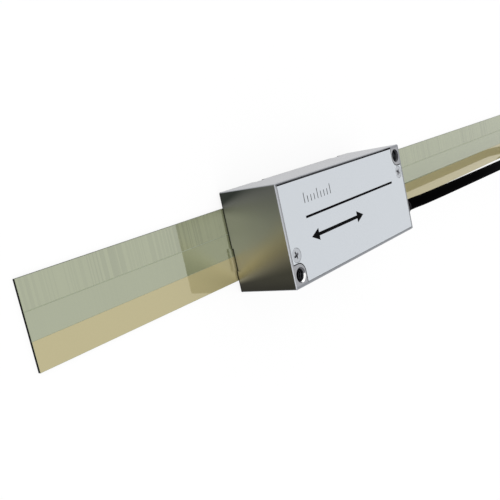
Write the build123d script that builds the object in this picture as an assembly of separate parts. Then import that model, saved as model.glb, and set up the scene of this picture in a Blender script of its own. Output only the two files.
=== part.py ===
"""Exposed linear encoder: a glass scale strip, the scanning head that reads it, and the head's lead.

Millimetres. X runs along the scale, Y across it, Z out of the glass towards the head. The origin is the
centre of the strip's mounting face, so the strip lies flat on its adhesive film.
"""
from build123d import *
from math import atan2, cos, pi, radians, sin, tan
import os

# Scale strip
SCALE_L = 340.0
SCALE_W = 15.0
GLASS_T = 0.5
FILM_T = 0.1
FILM_INSET = 0.3
TRACK_T = 0.02
TRACK_MARGIN = 0.04
REFERENCE_W = 5.0
INCREMENTAL_W = 4.6
TRACK_GAP = 0.06
CODE_GAP = 0.16

# Scanning head, outside
HEAD_L = 50.6
HEAD_W = 20.8
HEAD_H = 14.0
HEAD_REST = 48.3
HEAD_OVERHANG = 2.51
AIR_GAP = 0.2
CORNER_R = 0.35
FRONT_BEVEL = 0.15
WALL = 1.2
FLOOR_T = 2.0
CAVITY_R = 0.3

# Cover plate let into the front of the head
RIM = 0.55
COVER_T = 1.0
COVER_CLEAR = 0.06
BOSS_GAP = 0.14
TOP_SEAM_W = 0.33
GASKET_T = 0.3
SEAT_W = 0.8
SEAT_H = 1.0

# Corner bosses with the M3 fastening threads, and the cover's own small screws beside them
BOSS_X = 4.05
BOSS_Y = 4.65
BOSS_R = 1.9
FIX_X = 2.3
FIX_Y = 2.45
FIX_CORE_R = 1.25
FIX_MOUTH_R = 1.55
COVER_SCREW_X = 2.25
COVER_SCREW_Y = 6.4
COVER_POST_R = 1.75
SCREW_R = 0.8
SCREW_CLEAR = 0.03
SUNK_HEAD_R = 1.45
SUNK_HEAD_H = 0.8
COVER_SCREW_L = 4.5
PAN_HEAD_R = 1.4
PAN_HEAD_H = 0.8
RECESS_ARM = 0.85
RECESS_W = 0.28
RECESS_D = 0.4

# Shallow notches in the edges beside the glass
NOTCH_H = 1.0
END_NOTCH_D = 0.3
END_NOTCH_Y = 4.5
END_NOTCH_W = 4.75
SIDE_NOTCH_D = 0.8
SIDE_NOTCH_W = 3.2
SIDE_NOTCH_FROM_LEFT = 11.0
SIDE_NOTCH_FROM_RIGHT = 5.3

# Scanning window in the floor of the head
WINDOW_L = 15.6
WINDOW_W = 10.0
WINDOW_T = 0.8
WINDOW_SILL = 1.0
BOND_CLEAR = 0.05

# Optics carrier and what it holds
CARRIER_L = 22.0
CARRIER_W = 10.8
CARRIER_R = 0.8
CARRIER_CLEAR = 0.35
RETICLE_L = 15.0
RETICLE_W = 7.0
RETICLE_T = 0.9
LAMP_OFFSET = 4.6
LENS_R = 2.5
LENS_EDGE_T = 0.7
LENS_CROWN = 0.7
LENS_SILL = 0.45
LENS_CLEAR = 0.5
LAMP_W = 2.4
LAMP_T = 0.6
LAMP_DOME_R = 0.9
SENSOR_L = 5.0
SENSOR_W = 4.0
SENSOR_T = 0.9
SENSOR_ROOM = 0.5
CARRIER_SCREW_INSET = 1.8
CARRIER_SCREW_REACH = 1.5

# Circuit boards
BOARD_T = 0.8
BOARD_R = 0.8
MAIN_BOARD_INSET_X = 4.6
MAIN_BOARD_INSET_Y = 1.6
COMPONENT_ROOM = 1.3
BOARD_SPACING = 1.2
BOARD_POST_R = 1.7
BOARD_POST_INSET_X = 2.6
BOARD_POST_INSET_Y = 2.2
BOARD_SCREW_L = 4.0
CHIP_L = 7.0
CHIP_T = 1.0
FLEX_W = 4.0
FLEX_T = 0.15
FLEX_REACH = 2.4
FLEX_LAP = 1.6

# Lead: jacket, bend relief, clamp and cores
CABLE_D = 3.0
CABLE_Y = 4.25
CABLE_CLEAR = 0.03
RELIEF_L = 7.7
RELIEF_FLANGE_R = 2.4
RELIEF_FLANGE_T = 1.0
RELIEF_NECK_R = 1.95
RELIEF_COLLAR_R = 3.1
RELIEF_COLLAR_T = 1.2
RELIEF_TIP_R = 1.95
RELIEF_GROOVES = 3
RELIEF_GROOVE_W = 0.7
RELIEF_GROOVE_D = 0.45
CLAMP_W = 4.0
CLAMP_FROM_WALL = 3.6
CLAMP_ARCH_T = 0.6
CLAMP_CLEAR = 0.1
CLAMP_EAR_T = 1.0
CLAMP_EAR_L = 3.6
CLAMP_SCREW_L = 4.0
JACKET_BEYOND_CLAMP = 0.7
CORE_D = 0.5
CORE_CIRCLE_R = 0.95
CORE_COUNT = 8
CORE_L = 2.4
SOCKET_T = 1.9

# Route of the lead after a short straight: from the relief's tip along X and Y, and height above the floor
LEAD_STRAIGHT = 4.0
LEAD_ROUTE = [
    (10.0, -0.18, 10.28),
    (66.0, -0.71, 11.25),
    (78.0, -1.3, 10.3),
    (89.0, -2.4, 7.7),
    (98.0, -3.6, 4.9),
    (105.5, -4.4, 2.9),
    (111.5, -4.5, 2.1),
    (117.5, -4.5, 2.1),
]
ARC_SHARE = 0.45

# Hank: an oval of turns, two side by side and three high, drawn in at its middle by a tie
HANK_RUN = 46.0
HANK_INNER_R = 7.8
HANK_COLUMNS = 2
HANK_LAYERS = 3
HANK_PINCH = 3.3
HANK_WAIST_R = 45.0
HANK_EDGE = 1.0
TIE_W = 4.5
TIE_T = 0.6
TIE_R = 0.8
TIE_CLEAR = 0.15
TIE_HEAD_W = 5.4
TIE_HEAD_L = 5.6
TIE_HEAD_T = 2.6

# Short end of the lead from the hank to the connector, on the same terms as the route
TAIL_ROUTE = [(158.0, -4.5, 8.1), (166.5, -4.7, 8.05), (176.0, -9.6, 7.4)]
PLUG_ENTRY = (188.0, -10.3)
TAIL_STRAIGHT = 5.5

# Round connector at the lead's end
NUT_R = 7.25
NUT_L = 17.0
NUT_FLUTES = 24
NUT_FLUTE_D = 0.4
NUT_LIP_T = 2.6
NUT_THREAD_R = 5.46
NUT_PLAY = 0.1
NECK_R = 4.8
NECK_PLAY = 0.06
SHOULDER_R = 5.2
SHOULDER_T = 1.0
SHELL_R = 6.2
SHELL_L = 17.0
SHELL_RIBS = 12
SHELL_RIB_D = 0.35
SHELL_RIB_MARGIN = 2.0
STUB_R = 4.4
STUB_L = 4.0
BACK_NUT_R = 5.7
BACK_NUT_TIP_R = 3.6
BACK_NUT_L = 10.0
BACK_NUT_TAPER_L = 3.5
THREAD_CLEAR = 0.05
SEAL_L = 3.0
SEAL_R = 3.6
INSERT_R = 3.9
INSERT_BACK = 8.0
INSERT_FRONT = 2.0
KEY_W = 0.9
KEY_D = 0.7
PIN_R = 0.5
PIN_L = 16.0
PIN_OUT = 8.0
PIN_CIRCLE_R = 2.75
PIN_RING_COUNT = 7
O_RING_R = 0.45
O_RING_SIDES = 8
CABLE_IN_PLUG = 12.0

# Places that follow from the sizes
GLASS_TOP = FILM_T + GLASS_T
FACE_Z = GLASS_TOP + TRACK_T
HEAD_X = -SCALE_L / 2 + HEAD_REST
HEAD_Y = -SCALE_W / 2 - HEAD_OVERHANG
HEAD_AT = Pos(HEAD_X, HEAD_Y, FACE_Z + AIR_GAP)
COVER_Z = HEAD_H - COVER_T
LEDGE_Z = COVER_Z - GASKET_T
MAIN_BOARD_TOP = COVER_Z - COMPONENT_ROOM
MAIN_BOARD_Z = MAIN_BOARD_TOP - BOARD_T
OPTICS_BOARD_TOP = MAIN_BOARD_Z - BOARD_SPACING
CARRIER_TOP = OPTICS_BOARD_TOP - BOARD_T
LENS_SEAT_Z = CARRIER_TOP - LAMP_T - LAMP_DOME_R - LENS_CLEAR - LENS_CROWN - LENS_EDGE_T
CABLE_R = CABLE_D / 2
CABLE_Z = MAIN_BOARD_Z - CLAMP_CLEAR - CLAMP_ARCH_T - CABLE_R
RELIEF_TIP_X = HEAD_L + RELIEF_L
CLAMP_X = HEAD_L - WALL - CLAMP_FROM_WALL - CLAMP_W
CLAMP_SCREW_Y = CABLE_Y + CABLE_R + CLAMP_ARCH_T + CLAMP_EAR_L / 2
JACKET_END_X = CLAMP_X - JACKET_BEYOND_CLAMP
SOCKET_X = JACKET_END_X - CORE_L - SOCKET_T
OPTICS_X = SOCKET_X - CARRIER_CLEAR - CARRIER_L / 2
HANK_OUTER_R = HANK_INNER_R + (HANK_COLUMNS - 1) * CABLE_D
HANK_H = HANK_LAYERS * CABLE_D
EXIT_X = HEAD_X + RELIEF_TIP_X
EXIT_Y = HEAD_Y + CABLE_Y
EXIT_Z = FACE_Z + AIR_GAP + CABLE_Z
HANK_X = EXIT_X + LEAD_ROUTE[-1][0] + HANK_RUN / 2
HANK_Y = EXIT_Y + LEAD_ROUTE[-1][1] - HANK_OUTER_R
HANK_AT = Pos(HANK_X, HANK_Y, TIE_T)
PLUG_AT = Pos(EXIT_X + PLUG_ENTRY[0], EXIT_Y + PLUG_ENTRY[1], NUT_R)
SHELL_X = BACK_NUT_L + THREAD_CLEAR
NUT_X = SHELL_X + SHELL_L + NUT_PLAY
SHOULDER_X = NUT_X + NUT_LIP_T + NUT_PLAY
INSERT_FACE_X = SHOULDER_X + SHOULDER_T + INSERT_FRONT


def block(x0, x1, y0, y1, z0, z1):
    """A box between two corners."""
    return Pos((x0 + x1) / 2, (y0 + y1) / 2, (z0 + z1) / 2) * Box(x1 - x0, y1 - y0, z1 - z0)


def post(x, y, z0, z1, radius):
    """A round post that stands along Z."""
    return Pos(x, y, (z0 + z1) / 2) * Cylinder(radius, z1 - z0)


def bar(x0, x1, y, z, radius):
    """A round bar that lies along X."""
    return Pos((x0 + x1) / 2, y, z) * Rot(0, 90, 0) * Cylinder(radius, x1 - x0)


def cone(x, y, z0, z1, r0, r1):
    """A cone along Z with radius r0 at z0 and r1 at z1."""
    return Pos(x, y, (z0 + z1) / 2) * Cone(r0, r1, z1 - z0)


def upright_edges(shape):
    """The edges that stand along Z."""
    return shape.edges().filter_by(Axis.Z)


def turned_about_head(shape):
    """The same shape at the diagonally opposite corner of the head."""
    return Pos(HEAD_L, HEAD_W, 0) * Rot(0, 0, 180) * shape


def at_both_corners(shape):
    """The shape and its diagonal twin."""
    return shape + turned_about_head(shape)


def turned_profile(points):
    """A solid of revolution about the X axis, from (x, radius) points."""
    face = make_face(Polyline(*[(x, r, 0) for x, r in points], close=True))
    return revolve(face, Axis.X, 360)


# Scale strip


def adhesive_film():
    """Bonding film under the glass."""
    x = SCALE_L / 2 - FILM_INSET
    y = SCALE_W / 2 - FILM_INSET
    return block(-x, x, -y, y, 0, FILM_T)


def glass_strip():
    """The glass carrier of the graduation."""
    return block(-SCALE_L / 2, SCALE_L / 2, -SCALE_W / 2, SCALE_W / 2, FILM_T, GLASS_TOP)


def track(y0, y1):
    """One deposited layer on the front of the glass."""
    x = SCALE_L / 2 - TRACK_MARGIN
    return block(-x, x, y0, y1, GLASS_TOP, FACE_Z)


def tracks():
    """Reference band, incremental track and absolute code track, from the lower edge up."""
    low = -SCALE_W / 2 + TRACK_MARGIN
    reference_top = -SCALE_W / 2 + REFERENCE_W
    incremental_low = reference_top + TRACK_GAP
    incremental_top = incremental_low + INCREMENTAL_W
    code_low = incremental_top + CODE_GAP
    return {
        "reference_band": track(low, reference_top),
        "incremental_track": track(incremental_low, incremental_top),
        "absolute_track": track(code_low, SCALE_W / 2 - TRACK_MARGIN),
    }


# Head housing and cover


def head_block():
    """The head's outside form, with rounded corners and a fine bevel round the front."""
    body = block(0, HEAD_L, 0, HEAD_W, 0, HEAD_H)
    body = fillet(upright_edges(body), CORNER_R)
    return chamfer(body.faces().sort_by(Axis.Z)[-1].edges(), FRONT_BEVEL)


def corner_boss(grow=0.0, z0=FLOOR_T, z1=HEAD_H):
    """The boss in the lower left corner, with its inner corner rounded."""
    boss = block(0, BOSS_X + grow, 0, BOSS_Y + grow, z0, z1)
    inner = max(upright_edges(boss), key=lambda edge: edge.center().X + edge.center().Y)
    return fillet(inner, BOSS_R + grow)


def cover_recess(inset=0.0, z0=LEDGE_Z, boss_gap=0.0):
    """The space that the gasket and the cover fill, less the two corner bosses."""
    low = RIM + inset
    pocket = block(low, HEAD_L - low, low, HEAD_W - low, z0, HEAD_H)
    return pocket - at_both_corners(corner_boss(inset + boss_gap, z0))


def top_seam():
    """The open seam along the cover's upper edge, as far as the boss."""
    low = HEAD_W - RIM
    return block(RIM, HEAD_L - BOSS_X, low, low + TOP_SEAM_W, COVER_Z, HEAD_H)


def cavity(inset=0.0, z0=FLOOR_T):
    """The hollow inside the walls."""
    low = WALL + inset
    hollow = block(low, HEAD_L - low, low, HEAD_W - low, z0, HEAD_H)
    return fillet(upright_edges(hollow), CAVITY_R)


def seat_collar():
    """The step round the corner boss that carries the seal there."""
    return corner_boss(SEAT_W, LEDGE_Z - SEAT_H, LEDGE_Z)


def board_posts():
    """Centres of the three posts that carry the main board."""
    left = MAIN_BOARD_INSET_X + BOARD_POST_INSET_X
    right = HEAD_L - left
    low = MAIN_BOARD_INSET_Y + BOARD_POST_INSET_Y
    high = HEAD_W - low
    return [(left, low), (left, high), (right, high)]


def clamp_pedestal():
    """The block under the cable clamp, up to the middle of the lead."""
    top = CLAMP_SCREW_Y + CLAMP_EAR_L / 2
    return block(CLAMP_X, CLAMP_X + CLAMP_W, WALL, top, FLOOR_T, CABLE_Z)


def window_middle():
    """The middle of the scanning window and of the carrier above it, over the strip's centre line."""
    return OPTICS_X, -HEAD_Y


def edge_notches():
    """Notches in the left end and in the upper side, beside the glass."""
    end = block(0, END_NOTCH_D, END_NOTCH_Y, END_NOTCH_Y + END_NOTCH_W, 0, NOTCH_H)
    starts = (SIDE_NOTCH_FROM_LEFT, HEAD_L - SIDE_NOTCH_FROM_RIGHT - SIDE_NOTCH_W)
    for x in starts:
        end += block(x, x + SIDE_NOTCH_W, HEAD_W - SIDE_NOTCH_D, HEAD_W, 0, NOTCH_H)
    return end


def head_housing():
    """Milled housing: walls, floor with its window, bosses, posts and the clamp's pedestal."""
    outside = head_block()
    posts = post(COVER_SCREW_X, COVER_SCREW_Y, FLOOR_T, LEDGE_Z, COVER_POST_R)
    posts = at_both_corners(posts + corner_boss() + seat_collar())
    for x, y in board_posts():
        posts += post(x, y, FLOOR_T, MAIN_BOARD_Z, BOARD_POST_R)
    posts += clamp_pedestal()
    body = (outside - cavity() - cover_recess() - top_seam()) + (posts & outside)

    fix = post(FIX_X, FIX_Y, 0, HEAD_H, FIX_CORE_R)
    fix += cone(FIX_X, FIX_Y, HEAD_H - (FIX_MOUTH_R - FIX_CORE_R), HEAD_H, FIX_CORE_R, FIX_MOUTH_R)
    tapped = SCREW_R + SCREW_CLEAR
    fix += post(COVER_SCREW_X, COVER_SCREW_Y, HEAD_H - COVER_SCREW_L - RECESS_D, HEAD_H, tapped)
    body -= at_both_corners(fix)
    for x, y in board_posts():
        body -= post(x, y, MAIN_BOARD_TOP - BOARD_SCREW_L - SCREW_CLEAR, MAIN_BOARD_Z, tapped)
    for x, y in carrier_screw_places():
        body -= post(x, y, FLOOR_T - CARRIER_SCREW_REACH - SCREW_CLEAR, FLOOR_T, tapped)
    screw_x, screw_top = CLAMP_X + CLAMP_W / 2, CABLE_Z + CLAMP_EAR_T
    body -= post(screw_x, CLAMP_SCREW_Y, screw_top - CLAMP_SCREW_L - SCREW_CLEAR, CABLE_Z, tapped)
    body -= bar(CLAMP_X, CLAMP_X + CLAMP_W, CABLE_Y, CABLE_Z, CABLE_R + CABLE_CLEAR)
    body -= bar(HEAD_L - WALL, HEAD_L, CABLE_Y, CABLE_Z, RELIEF_NECK_R + CABLE_CLEAR)

    x, y = window_middle()
    pane = BOND_CLEAR + WINDOW_L / 2, BOND_CLEAR + WINDOW_W / 2
    sill = WINDOW_L / 2 - WINDOW_SILL, WINDOW_W / 2 - WINDOW_SILL
    body -= block(x - pane[0], x + pane[0], y - pane[1], y + pane[1], 0, WINDOW_T)
    body -= block(x - sill[0], x + sill[0], y - sill[1], y + sill[1], WINDOW_T, FLOOR_T)
    return body - edge_notches()


def cover_gasket():
    """Flat seal on the ledge round the hollow and round the screw posts."""
    ring = cover_recess(COVER_CLEAR) & block(0, HEAD_L, 0, HEAD_W, LEDGE_Z, COVER_Z)
    seats = post(COVER_SCREW_X, COVER_SCREW_Y, 0, HEAD_H, COVER_POST_R) + corner_boss(SEAT_W)
    ring -= cavity() - at_both_corners(seats)
    return ring - at_both_corners(post(COVER_SCREW_X, COVER_SCREW_Y, 0, HEAD_H, SCREW_R + SCREW_CLEAR))


def front_cover():
    """Cover plate, cut away round the bosses and countersunk for its two screws."""
    plate = cover_recess(COVER_CLEAR, COVER_Z, BOSS_GAP)
    head_r = SUNK_HEAD_R + SCREW_CLEAR
    shank_r = SCREW_R + SCREW_CLEAR
    sink = cone(COVER_SCREW_X, COVER_SCREW_Y, HEAD_H - SUNK_HEAD_H, HEAD_H, shank_r, head_r)
    sink += post(COVER_SCREW_X, COVER_SCREW_Y, COVER_Z, HEAD_H, shank_r)
    return plate - at_both_corners(sink)


def cross_recess(x, y, top):
    """Cross slot cut into a screw head."""
    arm = block(-RECESS_ARM, RECESS_ARM, -RECESS_W / 2, RECESS_W / 2, -RECESS_D, 0)
    return Pos(x, y, top) * (arm + Rot(0, 0, 90) * arm)


def cover_screws():
    """Two countersunk cross-recess screws, flush with the cover."""
    x, y, top = COVER_SCREW_X, COVER_SCREW_Y, HEAD_H
    screw = cone(x, y, top - SUNK_HEAD_H, top, SCREW_R, SUNK_HEAD_R)
    screw += post(x, y, top - COVER_SCREW_L, top - SUNK_HEAD_H, SCREW_R)
    screw -= cross_recess(x, y, top)
    return [screw, turned_about_head(screw)]


def pan_screw(x, y, seat, reach):
    """A pan-head screw whose head sits on seat and whose shank goes reach below it."""
    screw = post(x, y, seat - reach, seat, SCREW_R) + post(x, y, seat, seat + PAN_HEAD_H, PAN_HEAD_R)
    return screw - cross_recess(x, y, seat + PAN_HEAD_H)


# Scanning optics


def scanning_window():
    """Pane that closes the floor opening, flush with the face beside the glass."""
    x, y = window_middle()
    return block(x - WINDOW_L / 2, x + WINDOW_L / 2, y - WINDOW_W / 2, y + WINDOW_W / 2, 0, WINDOW_T)


def carrier_screw_places():
    """Centres of the two screws at opposite corners of the carrier."""
    x, y = window_middle()
    dx = CARRIER_L / 2 - CARRIER_SCREW_INSET
    dy = CARRIER_W / 2 - CARRIER_SCREW_INSET
    return [(x - dx, y - dy), (x + dx, y + dy)]


def lamp_place():
    """Centre of the lamp's light channel."""
    x, y = window_middle()
    return x - LAMP_OFFSET, y


def sensor_place():
    """Centre of the sensor's channel."""
    x, y = window_middle()
    return x + LAMP_OFFSET, y


def optics_carrier():
    """Moulded block with a pocket for the reticle, a stepped light bore and the sensor's channel."""
    x, y = window_middle()
    body = block(x - CARRIER_L / 2, x + CARRIER_L / 2, y - CARRIER_W / 2, y + CARRIER_W / 2,
                 FLOOR_T, CARRIER_TOP)
    body = fillet(upright_edges(body), CARRIER_R)
    half_l, half_w = RETICLE_L / 2 + BOND_CLEAR, RETICLE_W / 2 + BOND_CLEAR
    body -= block(x - half_l, x + half_l, y - half_w, y + half_w, FLOOR_T, FLOOR_T + RETICLE_T)
    lamp_x, lamp_y = lamp_place()
    body -= post(lamp_x, lamp_y, FLOOR_T, CARRIER_TOP, LENS_R - LENS_SILL)
    body -= post(lamp_x, lamp_y, LENS_SEAT_Z, CARRIER_TOP, LENS_R + BOND_CLEAR)
    sensor_x, sensor_y = sensor_place()
    half_l, half_w = SENSOR_L / 2 + SENSOR_ROOM, SENSOR_W / 2 + SENSOR_ROOM
    body -= block(sensor_x - half_l, sensor_x + half_l, sensor_y - half_w, sensor_y + half_w,
                  FLOOR_T, CARRIER_TOP)
    for screw_x, screw_y in carrier_screw_places():
        body -= post(screw_x, screw_y, FLOOR_T, CARRIER_TOP, SCREW_R + SCREW_CLEAR)
    return body


def scanning_reticle():
    """Grating plate bonded in the carrier's pocket, just above the window."""
    x, y = window_middle()
    return block(x - RETICLE_L / 2, x + RETICLE_L / 2, y - RETICLE_W / 2, y + RETICLE_W / 2,
                 FLOOR_T, FLOOR_T + RETICLE_T)


def condenser_lens():
    """Plano-convex lens on the step of the light bore, crown up."""
    x, y = lamp_place()
    crown_r = (LENS_R**2 + LENS_CROWN**2) / (2 * LENS_CROWN)
    rim = LENS_SEAT_Z + LENS_EDGE_T
    top = rim + LENS_CROWN
    crown = Pos(x, y, top - crown_r) * Sphere(crown_r)
    crown &= block(x - LENS_R, x + LENS_R, y - LENS_R, y + LENS_R, rim, top)
    return post(x, y, LENS_SEAT_Z, rim, LENS_R) + crown


def light_source():
    """Lamp package with its dome, hanging from the optics board."""
    x, y = lamp_place()
    low = CARRIER_TOP - LAMP_T
    half = LAMP_W / 2
    dome = Pos(x, y, low) * Sphere(LAMP_DOME_R)
    dome &= block(x - half, x + half, y - half, y + half, low - LAMP_DOME_R, low)
    return block(x - half, x + half, y - half, y + half, low, CARRIER_TOP) + dome


def photo_sensor():
    """Sensor array under the optics board."""
    x, y = sensor_place()
    return block(x - SENSOR_L / 2, x + SENSOR_L / 2, y - SENSOR_W / 2, y + SENSOR_W / 2,
                 CARRIER_TOP - SENSOR_T, CARRIER_TOP)


def optics_board():
    """Small board on top of the carrier."""
    x, y = window_middle()
    board = block(x - CARRIER_L / 2, x + CARRIER_L / 2, y - CARRIER_W / 2, y + CARRIER_W / 2,
                  CARRIER_TOP, OPTICS_BOARD_TOP)
    board = fillet(upright_edges(board), CARRIER_R)
    for screw_x, screw_y in carrier_screw_places():
        board -= post(screw_x, screw_y, CARRIER_TOP, OPTICS_BOARD_TOP, SCREW_R + SCREW_CLEAR)
    return board


def optics_screws():
    """Long screws through the board and the carrier into the floor."""
    reach = OPTICS_BOARD_TOP - FLOOR_T + CARRIER_SCREW_REACH
    return [pan_screw(x, y, OPTICS_BOARD_TOP, reach) for x, y in carrier_screw_places()]


# Electronics


def main_board():
    """Signal board on its three posts."""
    board = block(MAIN_BOARD_INSET_X, HEAD_L - MAIN_BOARD_INSET_X,
                  MAIN_BOARD_INSET_Y, HEAD_W - MAIN_BOARD_INSET_Y, MAIN_BOARD_Z, MAIN_BOARD_TOP)
    board = fillet(upright_edges(board), BOARD_R)
    for x, y in board_posts():
        board -= post(x, y, MAIN_BOARD_Z, MAIN_BOARD_TOP, SCREW_R + SCREW_CLEAR)
    return board


def board_screws():
    """Three pan-head screws for the main board."""
    return [pan_screw(x, y, MAIN_BOARD_TOP, BOARD_SCREW_L) for x, y in board_posts()]


def signal_chip():
    """Interpolation chip in the middle of the main board."""
    x, y, half = HEAD_L / 2, HEAD_W / 2, CHIP_L / 2
    return block(x - half, x + half, y - half, y + half, MAIN_BOARD_TOP, MAIN_BOARD_TOP + CHIP_T)


def board_components():
    """Regulator, memory, crystal and capacitors beside the chip: offset from it, length, width, height."""
    placed = [
        (10.5, 3.4, 4.0, 3.0, 1.1),
        (11.0, -3.6, 3.2, 2.5, 0.8),
        (-9.5, 3.6, 3.0, 4.4, 0.9),
        (-9.5, -3.2, 1.6, 0.8, 0.8),
        (-6.2, -3.2, 1.6, 0.8, 0.8),
        (6.2, 5.6, 1.6, 0.8, 0.8),
        (6.2, -5.6, 1.6, 0.8, 0.8),
    ]
    parts = []
    for dx, dy, length, width, height in placed:
        x, y = HEAD_L / 2 + dx, HEAD_W / 2 + dy
        parts.append(block(x - length / 2, x + length / 2, y - width / 2, y + width / 2,
                           MAIN_BOARD_TOP, MAIN_BOARD_TOP + height))
    return parts


def flex_ribbon():
    """Flat flexible link, bent round from the top of the optics board to the underside of the main one."""
    x, y = window_middle()
    lap_x = x - CARRIER_L / 2 + FLEX_LAP
    bend_x = x - CARRIER_L / 2 - FLEX_REACH
    outer_r = (MAIN_BOARD_Z - OPTICS_BOARD_TOP) / 2
    middle = OPTICS_BOARD_TOP + outer_r

    def loop(radius):
        """A bar with a round end, as thick as twice the radius."""
        end = Pos(bend_x, y, middle) * Rot(90, 0, 0) * Cylinder(radius, FLEX_W)
        return end + block(bend_x, lap_x, y - FLEX_W / 2, y + FLEX_W / 2, middle - radius, middle + radius)

    return loop(outer_r) - loop(outer_r - FLEX_T)


# Lead inside the head


def bend_relief():
    """Rubber bend relief: flange inside the wall, neck through it, grooved taper outside."""
    inner_x = HEAD_L - WALL - RELIEF_FLANGE_T
    bore = CABLE_R + CABLE_CLEAR
    collar_x = HEAD_L + RELIEF_COLLAR_T
    body = turned_profile([
        (inner_x, bore), (inner_x, RELIEF_FLANGE_R), (HEAD_L - WALL, RELIEF_FLANGE_R),
        (HEAD_L - WALL, RELIEF_NECK_R), (HEAD_L, RELIEF_NECK_R), (HEAD_L, RELIEF_COLLAR_R),
        (collar_x, RELIEF_COLLAR_R), (RELIEF_TIP_X, RELIEF_TIP_R), (RELIEF_TIP_X, bore),
    ])
    taper_l = RELIEF_TIP_X - collar_x
    pitch = taper_l / (RELIEF_GROOVES + 1)
    for k in range(1, RELIEF_GROOVES + 1):
        x = collar_x + k * pitch
        surface_r = RELIEF_COLLAR_R - (RELIEF_COLLAR_R - RELIEF_TIP_R) * (x - collar_x) / taper_l
        x0, x1 = x - RELIEF_GROOVE_W / 2, x + RELIEF_GROOVE_W / 2
        body -= bar(x0, x1, 0, 0, RELIEF_COLLAR_R) - bar(x0, x1, 0, 0, surface_r - RELIEF_GROOVE_D)
    return Pos(0, CABLE_Y, CABLE_Z) * body


def cable_entry():
    """The lead's jacket from inside the clamp to the tip of the relief."""
    return bar(JACKET_END_X, RELIEF_TIP_X, CABLE_Y, CABLE_Z, CABLE_R)


def cable_clamp():
    """Arched metal clip over the lead, with one ear for its screw."""
    x0, x1 = CLAMP_X, CLAMP_X + CLAMP_W
    outer_r = CABLE_R + CLAMP_ARCH_T
    above = block(x0, x1, CABLE_Y - outer_r, CABLE_Y + outer_r, CABLE_Z, CABLE_Z + outer_r)
    clip = bar(x0, x1, CABLE_Y, CABLE_Z, outer_r) & above
    clip += block(x0, x1, CABLE_Y, CLAMP_SCREW_Y + CLAMP_EAR_L / 2, CABLE_Z, CABLE_Z + CLAMP_EAR_T)
    clip -= bar(x0, x1, CABLE_Y, CABLE_Z, CABLE_R + CABLE_CLEAR)
    return clip - post((x0 + x1) / 2, CLAMP_SCREW_Y, CABLE_Z, CABLE_Z + CLAMP_EAR_T, SCREW_R + SCREW_CLEAR)


def clamp_screw():
    """Screw of the cable clamp."""
    return pan_screw(CLAMP_X + CLAMP_W / 2, CLAMP_SCREW_Y, CABLE_Z + CLAMP_EAR_T, CLAMP_SCREW_L)


def lead_cores():
    """The insulated cores between the jacket's end and the board's socket."""
    cores = []
    for k in range(CORE_COUNT):
        angle = 2 * pi * k / CORE_COUNT
        y = CABLE_Y + CORE_CIRCLE_R * cos(angle)
        z = CABLE_Z + CORE_CIRCLE_R * sin(angle)
        cores.append(bar(JACKET_END_X - CORE_L, JACKET_END_X, y, z, CORE_D / 2))
    return cores


def board_socket():
    """Core socket under the main board."""
    half = CORE_CIRCLE_R + CORE_D
    return block(SOCKET_X, SOCKET_X + SOCKET_T, CABLE_Y - half, CABLE_Y + half, CABLE_Z - half, MAIN_BOARD_Z)


# Lead outside the head


def placed_route(route):
    """Route points in the part's frame."""
    return [Vector(EXIT_X + x, EXIT_Y + y, z) for x, y, z in route]


def arc_radii(name, points):
    """The largest tangent arc at each corner that its two runs allow."""
    radii = []
    for a, b, c in zip(points, points[1:], points[2:]):
        turn = (b - a).get_angle(c - b)
        run = min((b - a).length, (c - b).length)
        radii.append(ARC_SHARE * run / tan(radians(turn) / 2))
    print(name, "radii", [round(r, 1) for r in radii])
    return radii


def lead_tube(name, points):
    """Round tube along straight runs joined by tangent arcs."""
    path = FilletPolyline(*points, radius=arc_radii(name, points))
    section = Plane(origin=path @ 0, z_dir=path % 0) * Circle(CABLE_R)
    tube = sweep(section, path)
    straight_volume = pi * CABLE_R**2 * path.length
    print(name, "length", round(path.length, 1), "volume ratio", round(tube.volume / straight_volume, 4))
    return tube


def cable_run():
    """The lead from the relief's tip to the hank."""
    start = [Vector(EXIT_X, EXIT_Y, EXIT_Z), Vector(EXIT_X + LEAD_STRAIGHT, EXIT_Y, EXIT_Z)]
    return lead_tube("cable_run", start + placed_route(LEAD_ROUTE))


def cable_tail():
    """The lead from the hank to the connector."""
    x, y = PLUG_ENTRY
    end = [(x - TAIL_STRAIGHT, y, NUT_R), (x, y, NUT_R)]
    return lead_tube("cable_tail", placed_route(TAIL_ROUTE + end))


def hank_outline(end_r):
    """Plan of a waisted oval whose ends have the given radius."""
    length = HANK_RUN / 2 + end_r
    shoulder = HANK_RUN / 2
    waist = end_r - HANK_PINCH
    corners = [
        (length, end_r), (shoulder, end_r), (0, waist), (-shoulder, end_r), (-length, end_r),
        (-length, -end_r), (-shoulder, -end_r), (0, -waist), (shoulder, -end_r), (length, -end_r),
    ]
    face = make_face(Polyline(*corners, close=True))
    ends = [v for v in face.vertices() if abs(v.X) > shoulder + end_r / 2]
    face = fillet(ends, end_r * 0.98)
    waists = [v for v in face.vertices() if abs(v.X) < shoulder / 2]
    return fillet(waists, HANK_WAIST_R)


def cable_hank():
    """The put-away turns as one solid of their outer shape."""
    outside = extrude(hank_outline(HANK_OUTER_R + CABLE_R), HANK_H)
    flat = outside.faces().sort_by(Axis.Z)
    outside = chamfer(flat[0].edges() + flat[-1].edges(), HANK_EDGE)
    hollow = extrude(hank_outline(HANK_INNER_R - CABLE_R), HANK_H)
    return HANK_AT * (outside - hollow)


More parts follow.
